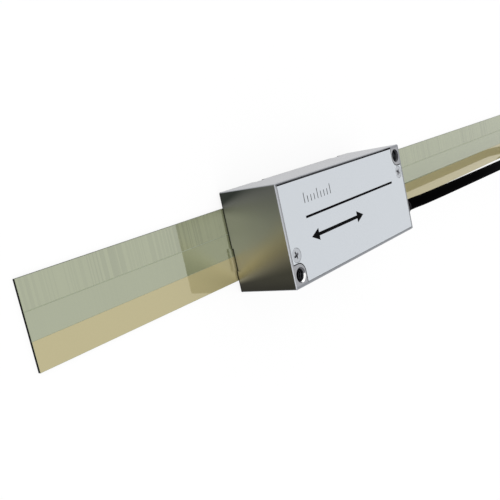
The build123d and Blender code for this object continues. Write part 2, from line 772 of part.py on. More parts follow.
def cable_tie():
    """Strap round the hank's waist, with its locking head on top."""
    waist_turn = atan2(HANK_PINCH, HANK_RUN / 2)
    bulge = HANK_WAIST_R * (1 / cos(waist_turn) - 1) + TIE_W**2 / (8 * HANK_WAIST_R)
    half_w = HANK_OUTER_R + CABLE_R - HANK_PINCH + bulge + TIE_CLEAR
    top = HANK_H + TIE_CLEAR
    outer = block(-TIE_W / 2, TIE_W / 2, -half_w - TIE_T, half_w + TIE_T, -TIE_T, top + TIE_T)
    inner = block(-TIE_W / 2, TIE_W / 2, -half_w, half_w, 0, top)
    lengthwise = outer.edges().filter_by(Axis.X)
    strap = fillet(lengthwise, TIE_R + TIE_T) - fillet(inner.edges().filter_by(Axis.X), TIE_R)
    head = block(-TIE_HEAD_L / 2, TIE_HEAD_L / 2, -TIE_HEAD_W / 2, TIE_HEAD_W / 2,
                 top + TIE_T, top + TIE_T + TIE_HEAD_T)
    head = fillet(upright_edges(head), TIE_R)
    return HANK_AT * (strap + head)


# Round connector, from its cable end at x = 0


def fluted(x0, x1, radius, depth, count):
    """A bar along X with straight V-shaped flutes round it."""
    points = []
    for k in range(2 * count):
        r = radius - depth * (k % 2)
        angle = pi * k / count
        points.append((x0, r * cos(angle), r * sin(angle)))
    return extrude(make_face(Polyline(*points, close=True)), x1 - x0, dir=(1, 0, 0))


def plug_back_nut():
    """Clamping nut on the connector's cable end."""
    bore = CABLE_R + CABLE_CLEAR
    stub = STUB_R + THREAD_CLEAR
    stub_x = BACK_NUT_L - STUB_L
    seal_x = stub_x - SEAL_L
    seal = SEAL_R + THREAD_CLEAR
    return turned_profile([
        (0, bore), (0, BACK_NUT_TIP_R), (BACK_NUT_TAPER_L, BACK_NUT_R), (BACK_NUT_L, BACK_NUT_R),
        (BACK_NUT_L, stub), (stub_x, stub), (stub_x, seal), (seal_x, seal), (seal_x, bore),
    ])


def plug_seal():
    """Rubber ring that the clamping nut squeezes onto the lead."""
    x1 = BACK_NUT_L - STUB_L
    return bar(x1 - SEAL_L, x1, 0, 0, SEAL_R) - bar(x1 - SEAL_L, x1, 0, 0, CABLE_R + CABLE_CLEAR)


def plug_cable_end():
    """The lead's jacket inside the connector."""
    return bar(0, CABLE_IN_PLUG, 0, 0, CABLE_R)


def plug_shell():
    """Connector shell: threaded stub, ribbed grip, neck for the coupling nut and its shoulder."""
    hollow = INSERT_R + THREAD_CLEAR
    stub_x = BACK_NUT_L - STUB_L + THREAD_CLEAR
    neck_x = SHELL_X + SHELL_L
    shoulder_end = SHOULDER_X + SHOULDER_T
    insert_back = INSERT_FACE_X - INSERT_FRONT - INSERT_BACK
    entry = CABLE_R + CABLE_CLEAR
    body = turned_profile([
        (stub_x, entry), (stub_x, STUB_R), (SHELL_X, STUB_R), (SHELL_X, SHELL_R),
        (neck_x, SHELL_R), (neck_x, NECK_R), (SHOULDER_X, NECK_R), (SHOULDER_X, SHOULDER_R),
        (shoulder_end, SHOULDER_R), (shoulder_end, hollow), (insert_back, hollow), (insert_back, STUB_R - 1),
        (CABLE_IN_PLUG, STUB_R - 1), (CABLE_IN_PLUG, entry),
    ])
    for k in range(SHELL_RIBS):
        groove = block(SHELL_X + SHELL_RIB_MARGIN, neck_x - SHELL_RIB_MARGIN, -0.5, 0.5,
                       SHELL_R - SHELL_RIB_D, SHELL_R + 1)
        body -= Rot(360 * k / SHELL_RIBS, 0, 0) * groove
    return body


def coupling_nut():
    """Fluted coupling nut, held between the shell's neck and its shoulder, free to turn."""
    nut = fluted(NUT_X, NUT_X + NUT_L, NUT_R, NUT_FLUTE_D, NUT_FLUTES)
    nut -= bar(NUT_X, NUT_X + NUT_LIP_T, 0, 0, NECK_R + NECK_PLAY)
    return nut - bar(NUT_X + NUT_LIP_T, NUT_X + NUT_L, 0, 0, NUT_THREAD_R)


def pin_places():
    """The ring of contacts and the middle one, as (y, z)."""
    ring = [2 * pi * (k + 0.5) / PIN_RING_COUNT for k in range(PIN_RING_COUNT)]
    return [(PIN_CIRCLE_R * cos(a), PIN_CIRCLE_R * sin(a)) for a in ring] + [(0, 0)]


def contact_carrier():
    """Insulating insert that holds the contacts, with its keyway."""
    x0 = INSERT_FACE_X - INSERT_FRONT - INSERT_BACK
    body = bar(x0, INSERT_FACE_X, 0, 0, INSERT_R)
    for y, z in pin_places():
        body -= bar(x0, INSERT_FACE_X, y, z, PIN_R + CABLE_CLEAR)
    return body - block(INSERT_FACE_X - INSERT_FRONT, INSERT_FACE_X, -KEY_W / 2, KEY_W / 2,
                        INSERT_R - KEY_D, INSERT_R)


def contact_pins():
    """Eight round contacts with domed tips."""
    pins = []
    for y, z in pin_places():
        tip = INSERT_FACE_X + PIN_OUT
        pin = bar(tip - PIN_L, tip, y, z, PIN_R)
        end = pin.faces().sort_by(Axis.X)[-1]
        pins.append(chamfer(end.edges(), PIN_R / 2))
    return pins


def plug_o_ring():
    """Sealing ring in front of the shell's shoulder, round the insert, with a section of a few flats."""
    x, middle = SHOULDER_X + SHOULDER_T + O_RING_R, INSERT_R + O_RING_R + BOND_CLEAR
    corner_r = O_RING_R / cos(pi / O_RING_SIDES)
    corners = [2 * pi * (k + 0.5) / O_RING_SIDES for k in range(O_RING_SIDES)]
    return turned_profile([(x + corner_r * cos(a), middle + corner_r * sin(a)) for a in corners])


def placed(place, shapes):
    """One shape or a list of them, moved to its place."""
    if isinstance(shapes, list):
        return Compound(children=[place * s for s in shapes])
    return place * shapes


def nodes():
    """Every piece by name, in the part's frame."""
    made = {"adhesive_film": adhesive_film(), "glass_strip": glass_strip(), **tracks()}
    in_head = [
        head_housing, cover_gasket, front_cover, cover_screws, scanning_window, optics_carrier,
        scanning_reticle, condenser_lens, light_source, photo_sensor, optics_board, optics_screws,
        main_board, board_screws, signal_chip, board_components, flex_ribbon, bend_relief,
        cable_entry, cable_clamp, clamp_screw, lead_cores, board_socket,
    ]
    for make in in_head:
        made[make.__name__] = placed(HEAD_AT, make())
    for make in (cable_run, cable_hank, cable_tie, cable_tail):
        made[make.__name__] = make()
    in_plug = [
        plug_back_nut, plug_seal, plug_cable_end, plug_shell, coupling_nut, contact_carrier,
        contact_pins, plug_o_ring,
    ]
    for make in in_plug:
        made[make.__name__] = placed(PLUG_AT, make())
    return made


os.makedirs("parts", exist_ok=True)
for name, shape in nodes().items():
    export_step(shape, f"parts/{name}.step")
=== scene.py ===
"""Looks of the exposed linear encoder: glass scale, scanning head, and the lead with its round connector.

Metres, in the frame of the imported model. Sizes of the pieces made here are dataclass fields in metres, and
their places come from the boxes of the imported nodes.
"""
import logging
from dataclasses import dataclass, field, replace
from enum import Enum
from math import cos, pi, radians, sin
from typing import Callable

import bmesh
import bpy
import numpy as np
from mathutils import Matrix, Vector


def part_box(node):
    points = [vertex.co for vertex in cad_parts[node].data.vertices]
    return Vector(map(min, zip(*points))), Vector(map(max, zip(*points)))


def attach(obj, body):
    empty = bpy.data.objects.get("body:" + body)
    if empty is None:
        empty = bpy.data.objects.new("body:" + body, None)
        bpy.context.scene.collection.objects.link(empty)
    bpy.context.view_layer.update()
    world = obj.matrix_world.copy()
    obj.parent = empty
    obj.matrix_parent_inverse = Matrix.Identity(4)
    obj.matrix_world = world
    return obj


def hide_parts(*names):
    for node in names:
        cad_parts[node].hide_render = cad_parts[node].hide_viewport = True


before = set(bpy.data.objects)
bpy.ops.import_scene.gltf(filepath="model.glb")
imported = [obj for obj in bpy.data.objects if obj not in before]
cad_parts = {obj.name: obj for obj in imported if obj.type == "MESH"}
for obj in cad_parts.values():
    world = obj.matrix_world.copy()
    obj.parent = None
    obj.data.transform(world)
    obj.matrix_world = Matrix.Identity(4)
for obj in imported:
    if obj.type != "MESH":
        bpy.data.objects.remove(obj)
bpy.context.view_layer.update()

MM = 0.001

log = logging.getLogger("linear_encoder")


class Body(Enum):
    """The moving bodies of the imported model."""

    SCALE = "scale"
    HEAD = "head"
    COUPLING = "coupling"


class Effect(Enum):
    """Surface effects that several materials share, each one a node group."""

    GRAIN = "fine_grain"
    WEAR = "worn_edges"
    DUST = "settled_dust"


Colour = tuple[float, float, float]
Point = tuple[float, float, float]


# Node trees


class NodeSheet:
    """Short calls for building one node tree.

    Attributes:
        MIX_INPUTS: Factor, first and second colour of a Mix node that is set to colours.
        MIX_OUTPUT: Its colour output.
    """

    MIX_INPUTS = (0, 6, 7)
    MIX_OUTPUT = 2

    def __init__(self, tree: bpy.types.NodeTree) -> None:
        """Start with an empty tree."""
        self.tree = tree
        tree.nodes.clear()

    def add(self, kind: str, settings: dict | None = None, **inputs: object) -> bpy.types.Node:
        """Add a node.

        Args:
            kind: The node's type without its ShaderNode prefix.
            settings: Node properties by name.
            inputs: Sockets by name, with underscores for spaces: a value, or a socket to link from.

        Returns:
            The new node.
        """
        node = self.tree.nodes.new("ShaderNode" + kind)
        for name, value in (settings or {}).items():
            setattr(node, name, value)
        for name, value in inputs.items():
            self.feed(node.inputs[name.replace("_", " ")], value)
        return node

    def feed(self, socket: bpy.types.NodeSocket, value: object) -> None:
        """Set a socket's value, or link a socket to it.

        Args:
            socket: The input socket.
            value: A number, a tuple, or an output socket to link from.
        """
        if isinstance(value, bpy.types.NodeSocket):
            self.tree.links.new(value, socket)
        elif isinstance(value, tuple) and len(value) == 3 and socket.type == "RGBA":
            socket.default_value = (*value, 1.0)
        else:
            socket.default_value = value

    def maths(self, operation: str, *terms: object, clamp: bool = False) -> bpy.types.NodeSocket:
        """Add a Math node and return its output.

        Args:
            operation: The node's operation.
            terms: Its inputs in their order.
            clamp: Whether the result is kept from 0 to 1.

        Returns:
            The node's output.
        """
        node = self.add("Math", {"operation": operation, "use_clamp": clamp})
        for socket, value in zip(node.inputs, terms):
            self.feed(socket, value)
        return node.outputs[0]

    def blend(self, share: object, low: object, high: object, way: str = "MIX") -> bpy.types.NodeSocket:
        """Add a colour mix of low and high by share, and return its output.

        Args:
            share: Share of the second colour.
            low: First colour.
            high: Second colour.
            way: Blend type.

        Returns:
            The mixed colour.
        """
        node = self.add("Mix", {"data_type": "RGBA", "blend_type": way, "clamp_factor": True})
        for place, value in zip(self.MIX_INPUTS, (share, low, high)):
            self.feed(node.inputs[place], value)
        return node.outputs[self.MIX_OUTPUT]

    def ramp(self, value: object, low: float, high: float, start: float = 0.0,
             end: float = 1.0) -> bpy.types.NodeSocket:
        """Add a smooth step from start at low to end at high, and return its output.

        Args:
            value: What is looked at.
            low: Value at which the step starts.
            high: Value at which it is done.
            start: Result up to low.
            end: Result from high on.

        Returns:
            The result.
        """
        node = self.add("MapRange", {"interpolation_type": "SMOOTHSTEP"})
        for socket, given in zip(node.inputs, (value, low, high, start, end)):
            self.feed(socket, given)
        return node.outputs[0]

    def place(self) -> bpy.types.NodeSocket:
        """Return the Object coordinates."""
        return self.add("TexCoord").outputs["Object"]


class SharedEffects:
    """Builds each shared effect's node group once and hands it to the materials.

    A pair of values says where an effect starts and where it is full, and two more give its shares there.

    Attributes:
        FINE: Detail and roughness of the grain's fine noise, and its share of the grain.
        CLOUDS: Detail of the grain's broad clouds, and their share of the grain.
        EDGE_TURN: Cosine between the rounded and the true normal on rubbed edges.
        PATCHES: Scale, detail and roughness of the noise that breaks them up.
        PATCH_RANGE: Noise value of a patch.
        DUST_LIES: Z of the normal where dust lies.
        VEIL: Scale and detail of the thin veil.
        VEIL_RANGE: Noise value of the veil.
        SPECK_RANGE: Distance from a speck's middle.
    """

    FINE = (4.0, 0.62, 0.65)
    CLOUDS = (3.0, 0.35)
    EDGE_SAMPLES = 6
    EDGE_TURN = (0.995, 0.86)
    PATCHES = (900.0, 5.0, 0.7)
    PATCH_RANGE = (0.38, 0.62)
    DUST_COLOUR = (0.42, 0.41, 0.39)
    DUST_ROUGHNESS = 0.85
    DUST_LIES = (-0.2, 0.9, 0.25, 1.0)
    VEIL = (160.0, 4.0)
    VEIL_RANGE = (0.4, 0.75, 0.0, 0.5)
    SPECK_SCALE = 700.0
    SPECK_RANGE = (0.16, 0.06)
    SPECK_SHARE = 0.6

    def __init__(self) -> None:
        """Build the three groups."""
        self.groups = {
            Effect.GRAIN: self._grain(),
            Effect.WEAR: self._wear(),
            Effect.DUST: self._dust(),
        }

    @staticmethod
    def _open(name: str, inputs: dict[str, str], outputs: dict[str, str]) -> tuple:
        """Make an empty group with named sockets.

        Args:
            name: The group's name.
            inputs: Socket types by input name.
            outputs: Socket types by output name.

        Returns:
            The sheet, the group's input node and its output node.
        """
        tree = bpy.data.node_groups.new(name, "ShaderNodeTree")
        for socket, kind in inputs.items():
            tree.interface.new_socket(socket, in_out="INPUT", socket_type="NodeSocket" + kind)
        for socket, kind in outputs.items():
            tree.interface.new_socket(socket, in_out="OUTPUT", socket_type="NodeSocket" + kind)
        sheet = NodeSheet(tree)
        return sheet, tree.nodes.new("NodeGroupInput"), tree.nodes.new("NodeGroupOutput")

    def _grain(self) -> bpy.types.NodeTree:
        """Stretched fine noise with broad clouds: shades the colour, varies the roughness, gives a height.

        Returns:
            The node group.
        """
        sheet, given, made = self._open(
            Effect.GRAIN.value,
            {"Color": "Color", "Roughness": "Float", "Stretch": "Vector", "Fineness": "Float",
             "Cloud": "Float", "Shade": "Float", "Spread": "Float"},
            {"Color": "Color", "Roughness": "Float", "Height": "Float"})
        place = sheet.place()
        drawn = sheet.add("VectorMath", {"operation": "MULTIPLY"})
        sheet.feed(drawn.inputs[0], place)
        sheet.feed(drawn.inputs[1], given.outputs["Stretch"])
        detail, roughness, fine_share = self.FINE
        fine = sheet.add("TexNoise", Vector=drawn.outputs[0], Scale=given.outputs["Fineness"], Detail=detail,
                         Roughness=roughness).outputs[0]
        detail, cloud_share = self.CLOUDS
        cloud = sheet.add("TexNoise", Vector=place, Scale=given.outputs["Cloud"], Detail=detail).outputs[0]
        both = sheet.maths("ADD", sheet.maths("MULTIPLY", fine, fine_share),
                           sheet.maths("MULTIPLY", cloud, cloud_share))
        swing = sheet.maths("MULTIPLY", sheet.maths("SUBTRACT", both, 0.5), 2.0)
        light = sheet.maths("ADD", 1.0, sheet.maths("MULTIPLY", swing, given.outputs["Shade"]))
        grey = sheet.add("CombineColor", Red=light, Green=light, Blue=light).outputs[0]
        sheet.feed(made.inputs["Color"], sheet.blend(1.0, given.outputs["Color"], grey, "MULTIPLY"))
        rough = sheet.maths("MULTIPLY", swing, given.outputs["Spread"])
        sheet.feed(made.inputs["Roughness"], sheet.maths("ADD", given.outputs["Roughness"], rough, clamp=True))
        sheet.feed(made.inputs["Height"], fine)
        return sheet.tree

    def _wear(self) -> bpy.types.NodeTree:
        """Rubbed edges: where a normal rounded over the edge leaves the true one, broken up by noise.

        Returns:
            The node group.
        """
        sheet, given, made = self._open(
            Effect.WEAR.value,
            {"Color": "Color", "Roughness": "Float", "Bare Color": "Color", "Bare Roughness": "Float",
             "Width": "Float", "Amount": "Float"},
            {"Color": "Color", "Roughness": "Float", "Mask": "Float", "Normal": "Vector"})
        rounded = sheet.add("Bevel", {"samples": self.EDGE_SAMPLES}, Radius=given.outputs["Width"]).outputs[0]
        flat = sheet.add("NewGeometry").outputs["Normal"]
        along = sheet.add("VectorMath", {"operation": "DOT_PRODUCT"})
        sheet.feed(along.inputs[0], rounded)
        sheet.feed(along.inputs[1], flat)
        edge = sheet.ramp(along.outputs["Value"], *self.EDGE_TURN)
        scale, detail, roughness = self.PATCHES
        patch = sheet.add("TexNoise", Vector=sheet.place(), Scale=scale, Detail=detail,
                          Roughness=roughness).outputs[0]
        broken = sheet.ramp(patch, *self.PATCH_RANGE)
        mask = sheet.maths("MULTIPLY", sheet.maths("MULTIPLY", edge, broken), given.outputs["Amount"], clamp=True)
        sheet.feed(made.inputs["Color"], sheet.blend(mask, given.outputs["Color"], given.outputs["Bare Color"]))
        change = sheet.maths("SUBTRACT", given.outputs["Bare Roughness"], given.outputs["Roughness"])
        rough = sheet.maths("ADD", given.outputs["Roughness"], sheet.maths("MULTIPLY", change, mask))
        sheet.feed(made.inputs["Roughness"], rough)
        sheet.feed(made.inputs["Mask"], mask)
        sheet.feed(made.inputs["Normal"], rounded)
        return sheet.tree

    def _dust(self) -> bpy.types.NodeTree:
        """Pale dust in specks and a thin veil, thickest on surfaces that face up.

        Returns:
            The node group.
        """
        sheet, given, made = self._open(
            Effect.DUST.value,
            {"Color": "Color", "Roughness": "Float", "Amount": "Float"},
            {"Color": "Color", "Roughness": "Float"})
        upward = sheet.add("SeparateXYZ", Vector=sheet.add("NewGeometry").outputs["Normal"]).outputs["Z"]
        lying = sheet.ramp(upward, *self.DUST_LIES)
        scale, detail = self.VEIL
        veil = sheet.add("TexNoise", Vector=sheet.place(), Scale=scale, Detail=detail).outputs[0]
        speck = sheet.add("TexVoronoi", Vector=sheet.place(), Scale=self.SPECK_SCALE).outputs["Distance"]
        specks = sheet.ramp(speck, *self.SPECK_RANGE)
        share = sheet.maths("ADD", sheet.ramp(veil, *self.VEIL_RANGE),
                            sheet.maths("MULTIPLY", specks, self.SPECK_SHARE))
        share = sheet.maths("MULTIPLY", sheet.maths("MULTIPLY", share, lying), given.outputs["Amount"], clamp=True)
        sheet.feed(made.inputs["Color"], sheet.blend(share, given.outputs["Color"], self.DUST_COLOUR))
        change = sheet.maths("SUBTRACT", self.DUST_ROUGHNESS, given.outputs["Roughness"])
        rough = sheet.maths("MULTIPLY", change, share)
        sheet.feed(made.inputs["Roughness"], sheet.maths("ADD", given.outputs["Roughness"], rough))
        return sheet.tree

    def use(self, sheet: NodeSheet, effect: Effect, **inputs: object) -> bpy.types.Node:
        """Place an effect in a material with its own values and return the group node.

        Args:
            sheet: The material's nodes.
            effect: The effect.
            inputs: The group's inputs by name, with underscores for spaces.

        Returns:
            The group node.
        """
        node = sheet.tree.nodes.new("ShaderNodeGroup")
        node.node_tree = self.groups[effect]
        for name, value in inputs.items():
            sheet.feed(node.inputs[name.replace("_", " ")], value)
        return node


# Finishes

CLOUD_SCALE = 120.0
BARE_ROUGHNESS = 0.35
COAT_ROUGHNESS = 0.12


@dataclass(frozen=True)
class Finish:
    """A surface as its maker would specify it.

    Attributes:
        name: Name of the material.
        colour: Linear base colour.
        roughness: Mean roughness.
        metallic: 1 for bare metal.
        specular: Specular level of the shader.
        ior: Refractive index.
        coat: Weight of the clear coat.
        grain: Size of the finest grain.
        stretch: How many times finer the grain is along X, Y and Z.
        shade: Share by which the grain changes the colour.
        spread: How far the grain moves the roughness.
        relief: Height of the grain.
        edge: Width over which edges look rounded.
        bare: Colour where edges are rubbed.
        wear: How far edges are rubbed.
        dust: How much dust lies on it.
    """

    name: str
    colour: Colour
    roughness: float
    metallic: float = 0.0
    specular: float = 0.5
    ior: float = 1.5
    coat: float = 0.0
    grain: float = 0.25 * MM
    stretch: Point = (1.0, 1.0, 1.0)
    shade: float = 0.06
    spread: float = 0.06
    relief: float = 0.0
    edge: float = 0.08 * MM
    bare: Colour = (0.55, 0.55, 0.56)
    wear: float = 0.0
    dust: float = 0.0

    def tint(self, sheet: NodeSheet) -> object:
        """Give the colour before grain, wear and dust."""
        return self.colour

    def material(self, effects: SharedEffects) -> bpy.types.Material:
        """Build the material: tint, then grain, rubbed edges and dust, into one Principled shader.

        Args:
            effects: The shared node groups.

        Returns:
            The new material.
        """
        made = bpy.data.materials.new(self.name)
        made.use_nodes = True
        sheet = NodeSheet(made.node_tree)
        grain = effects.use(sheet, Effect.GRAIN, Color=self.tint(sheet), Roughness=self.roughness,
                            Stretch=self.stretch, Fineness=1 / self.grain, Cloud=CLOUD_SCALE,
                            Shade=self.shade, Spread=self.spread)
        wear = effects.use(sheet, Effect.WEAR, Color=grain.outputs["Color"], Roughness=grain.outputs["Roughness"],
                           Bare_Color=self.bare, Bare_Roughness=BARE_ROUGHNESS, Width=self.edge,
                           Amount=self.wear)
        dust = effects.use(sheet, Effect.DUST, Color=wear.outputs["Color"], Roughness=wear.outputs["Roughness"],
                           Amount=self.dust)
        shader = sheet.add("BsdfPrincipled", Base_Color=dust.outputs["Color"],
                           Roughness=dust.outputs["Roughness"], Metallic=self.metallic, IOR=self.ior)
        shader.inputs["Specular IOR Level"].default_value = self.specular
        shader.inputs["Coat Weight"].default_value = self.coat
        shader.inputs["Coat Roughness"].default_value = COAT_ROUGHNESS
        bump = sheet.add("Bump", Strength=1.0, Distance=self.relief, Height=grain.outputs["Height"],
                         Normal=wear.outputs["Normal"])
        sheet.feed(shader.inputs["Normal"], bump.outputs[0])
        self.dress(sheet, shader)
        output = sheet.add("OutputMaterial")
        sheet.feed(output.inputs["Surface"], shader.outputs[0])
        return made

    def dress(self, sheet: NodeSheet, shader: bpy.types.Node) -> None:
        """Set what only this kind of finish has."""


@dataclass(frozen=True)
class MilledHousing(Finish):
    """Bright milled metal whose two end faces carry a painted reflection that darkens towards their upper and
    lower edges.

    Across an end face, from the glass to the cover, the two dark edges of the painted reflection start in line
    with the glass strip's sides, lean upwards and get softer, as the surroundings mirrored in a matt face do. The
    narrow rim round the cover is coloured duller than the sides as painted shade, the sliver above its upper seam
    gets painted shade, the turned mouths of the holes have a painted highlight on one side and painted shade on
    the rest, and the lip at the glass and the side that faces it get a painted shadow of the gap.

    Attributes:
        low: Lowest corner of the housing.
        high: Highest corner of the housing.
        reflection_near: Painted reflection colour of the middle of an end face beside the glass.
        reflection_far: Painted reflection colour of its middle beside the cover.
        reflection_dark: Painted reflection colour of its upper and lower dark edges.
        reflection_low: Painted reflection colour of the last stretch along its lower edge.
        warm: What the middle's colour is multiplied by near the lower dark edge, a painted warm reflection.
        bottom: Y, lean, half width and growth of the half width of the painted reflection's lower dark edge.
        top: The same of the upper one.
        top_reflection_dark: Painted reflection colour of the upper edge.
        glow: What the middle is multiplied by where it has a painted reflection of the straw-yellow band.
        band_reflection_y: Y where that painted reflection starts and where it is full.
        last: Width of the last stretch.
        lip: Height above the glass side that gets the painted shadow of the gap.
        shadow: Painted shadow colour of that lip and of the side that faces the glass.
        front: Colour of the corner bosses' faces.
        rim: Painted shade colour of the rim below and to the right of the cover.
        top_seam_shade: Painted shade colour of the sliver above the cover's upper seam.
        rim_w: Width of the rim.
        holes: Middles of the lower and the upper hole, as X and Y.
        mouth_r: Radius within which a slanting face belongs to a hole's mouth.
        lit: Painted highlight colour of the lit side of each hole's mouth.
        shaded: Painted shade colour of the rest of it.
        boss_l: Distance from the end where the sliver starts to fade at the boss, and is gone.
        END_FACES: Part of the normal along X where an end face starts and where it is full.
        FRONT_FACES: Z of the normal where the faces round the cover start and where they are full.
        GLASS_SIDE: The same of the side that faces the glass.
        MOUTH_FACES: Z of the normal where a mouth's slant starts and is full, then where it ends and is full.
        MOUTH_HIGHLIGHT: How far a slant looks to the left and up where its painted highlight starts and where it
            is full.
        MOUTH_FADE: Where a mouth has faded out, in mouth_r.
        RIM_FADE: Where the painted shade of the rim and of the sliver has faded, in rim_w.
        WARM_REFLECTION_REACH: Half widths above the lower dark edge where the painted warm reflection starts and
            where it is full.
        BAND_REFLECTION_LEFT: Share of the painted straw-yellow reflection beside the glass and beside the cover.
    """

    END_FACES = (0.7, 0.95)
    FRONT_FACES = (0.9, 0.97)
    GLASS_SIDE = (-0.7, -0.95)
    MOUTH_FACES = ((0.3, 0.45), (0.95, 0.85))
    MOUTH_HIGHLIGHT = (0.62, 0.85)
    MOUTH_FADE = 1.05
    RIM_FADE = (1.2, 0.8)
    WARM_REFLECTION_REACH = (1.8, 0.0)
    BAND_REFLECTION_LEFT = (1.0, 0.15)

    low: Point = (0.0, 0.0, 0.0)
    high: Point = (50.0 * MM, 20.0 * MM, 14.0 * MM)
    reflection_near: Colour = (0.52, 0.52, 0.46)
    reflection_far: Colour = (0.355, 0.355, 0.33)
    reflection_dark: Colour = (0.052, 0.050, 0.037)
    reflection_low: Colour = (0.034, 0.033, 0.026)
    warm: Colour = (1.09, 1.02, 0.78)
    bottom: tuple[float, float, float, float] = (-7.35 * MM, 0.38, 1.1 * MM, 0.26)
    top: tuple[float, float, float, float] = (7.5 * MM, 0.07, 1.4 * MM, 0.4)
    top_reflection_dark: Colour = (0.031, 0.036, 0.030)
    glow: Colour = (1.13, 1.12, 1.10)
    band_reflection_y: tuple[float, float] = (5.0 * MM, -2.5 * MM)
    last: float = 3.0 * MM
    lip: float = 0.28 * MM
    shadow: Colour = (0.02, 0.02, 0.018)
    front: Colour = (0.345, 0.35, 0.37)
    rim: Colour = (0.255, 0.265, 0.285)
    top_seam_shade: Colour = (0.15, 0.155, 0.17)
    rim_w: float = 0.56 * MM
    holes: tuple[tuple[float, float], ...] = ()
    mouth_r: float = 1.75 * MM
    lit: tuple[Colour, Colour] = ((0.95, 0.95, 0.95), (0.06, 0.06, 0.065))
    shaded: tuple[Colour, Colour] = ((0.12, 0.12, 0.13), (0.03, 0.03, 0.035))
    boss_l: tuple[float, float] = (4.4 * MM, 4.0 * MM)

    def tint(self, sheet: NodeSheet) -> object:
        """Paint reflection, shade, highlights and the gap's shadow into the end faces, the rim, the holes' mouths
        and the side at the glass, by normal and place.

        Args:
            sheet: The material's nodes.

        Returns:
            The colour before grain, wear and dust.
        """
        normal = sheet.add("SeparateXYZ", Vector=sheet.add("NewGeometry").outputs["True Normal"]).outputs
        place = sheet.add("SeparateXYZ", Vector=sheet.place()).outputs
        is_end = sheet.ramp(sheet.maths("ABSOLUTE", normal["X"]), *self.END_FACES)
        is_front = sheet.ramp(normal["Z"], *self.FRONT_FACES)
        whole = sheet.blend(is_end, self.colour, self._end(sheet, place))
        whole = sheet.blend(is_front, whole, self._front(sheet, place))
        # Painted highlight on one side of each hole's mouth, painted shade on the rest.
        for hole, lit, shaded in zip(self.holes, self.lit, self.shaded):
            slanting, highlight_share = self._mouth(sheet, place, normal, hole)
            whole = sheet.blend(slanting, whole, sheet.blend(highlight_share, shaded, lit))
        # Painted shadow of the gap on the lip and on the side that faces the glass.
        z = sheet.maths("SUBTRACT", place["Z"], self.low[2])
        gap_shadow_share = sheet.maths("ADD", sheet.ramp(z, self.lip * 0.5, self.lip, 1.0, 0.0),
                             sheet.ramp(normal["Z"], *self.GLASS_SIDE), clamp=True)
        return sheet.blend(gap_shadow_share, whole, self.shadow)

    def _end(self, sheet: NodeSheet, place: object) -> object:
        """Colour of an end face, a painted reflection.

        Args:
            sheet: The material's nodes.
            place: The Object coordinates, split.

        Returns:
            The colour.
        """
        z = sheet.maths("SUBTRACT", place["Z"], self.low[2])
        below, above = (self._beyond(sheet, place["Y"], z, edge) for edge in (self.bottom, self.top))
        depth = self.high[2] - self.low[2]
        middle = sheet.blend(sheet.ramp(z, 0.0, depth), self.reflection_near, self.reflection_far)
        warm = sheet.blend(1.0, middle, self.warm, "MULTIPLY")
        middle = sheet.blend(sheet.ramp(below, *self.WARM_REFLECTION_REACH), middle, warm)
        # Painted reflection of the straw-yellow band: the middle gets brighter where the band would be mirrored.
        band_reflection_share = sheet.maths("MULTIPLY", sheet.ramp(place["Y"], *self.band_reflection_y),
                              sheet.ramp(z, 0.0, depth, *self.BAND_REFLECTION_LEFT))
        middle = sheet.blend(band_reflection_share, middle, sheet.blend(1.0, middle, self.glow, "MULTIPLY"))
        # Painted reflection's dark edges, darkest along the last stretch of the lower edge.
        last = sheet.ramp(place["Y"], self.low[1], self.low[1] + self.last, 1.0, 0.0)
        edge = sheet.blend(last, self.reflection_dark, self.reflection_low)
        end = sheet.blend(sheet.ramp(below, -1.0, 1.0, 1.0, 0.0), middle, edge)
        return sheet.blend(sheet.ramp(above, -1.0, 1.0), end, self.top_reflection_dark)

    @staticmethod
    def _beyond(sheet: NodeSheet, y: object, z: object, edge: tuple[float, float, float, float]) -> object:
        """How far a point is above a leaning dark edge of the painted reflection, in half widths of its fade.

        Args:
            sheet: The material's nodes.
            y: Y of the point.
            z: Height above the side at the glass.
            edge: Y, lean, half width and growth of the half width.

        Returns:
            The distance, above 0 past the edge.
        """
        start, lean, half, growth = edge
        middle = sheet.maths("ADD", sheet.maths("MULTIPLY", z, lean), start)
        width = sheet.maths("ADD", sheet.maths("MULTIPLY", z, growth), half)
        return sheet.maths("DIVIDE", sheet.maths("SUBTRACT", y, middle), width)

    def _front(self, sheet: NodeSheet, place: object) -> object:
        """Colour of the faces round the cover, with painted shade on the rim and on the sliver above the upper
        seam.

        Args:
            sheet: The material's nodes.
            place: The Object coordinates, split.

        Returns:
            The colour.
        """
        # Painted shade on the rim below and to the right of the cover, and on the sliver above its upper seam.
        share = 0.0
        for axis, limit, sign in (("X", self.high[0], -1.0), ("Y", self.low[1], 1.0), ("Y", self.high[1], -1.0)):
            inside = sheet.maths("MULTIPLY", sheet.maths("SUBTRACT", place[axis], limit), sign)
            near = sheet.ramp(inside, self.rim_w, self.rim_w * self.RIM_FADE[0], 1.0, 0.0)
            share = sheet.maths("MAXIMUM", share, near)
        top = sheet.ramp(place["Y"], self.high[1] - self.rim_w, self.high[1] - self.rim_w * self.RIM_FADE[1])
        boss = (self.high[0] - length for length in self.boss_l)
        off_boss = sheet.ramp(place["X"], *boss, 1.0, 0.0)
        made = sheet.blend(share, self.front, self.rim)
        return sheet.blend(sheet.maths("MULTIPLY", top, off_boss), made, self.top_seam_shade)

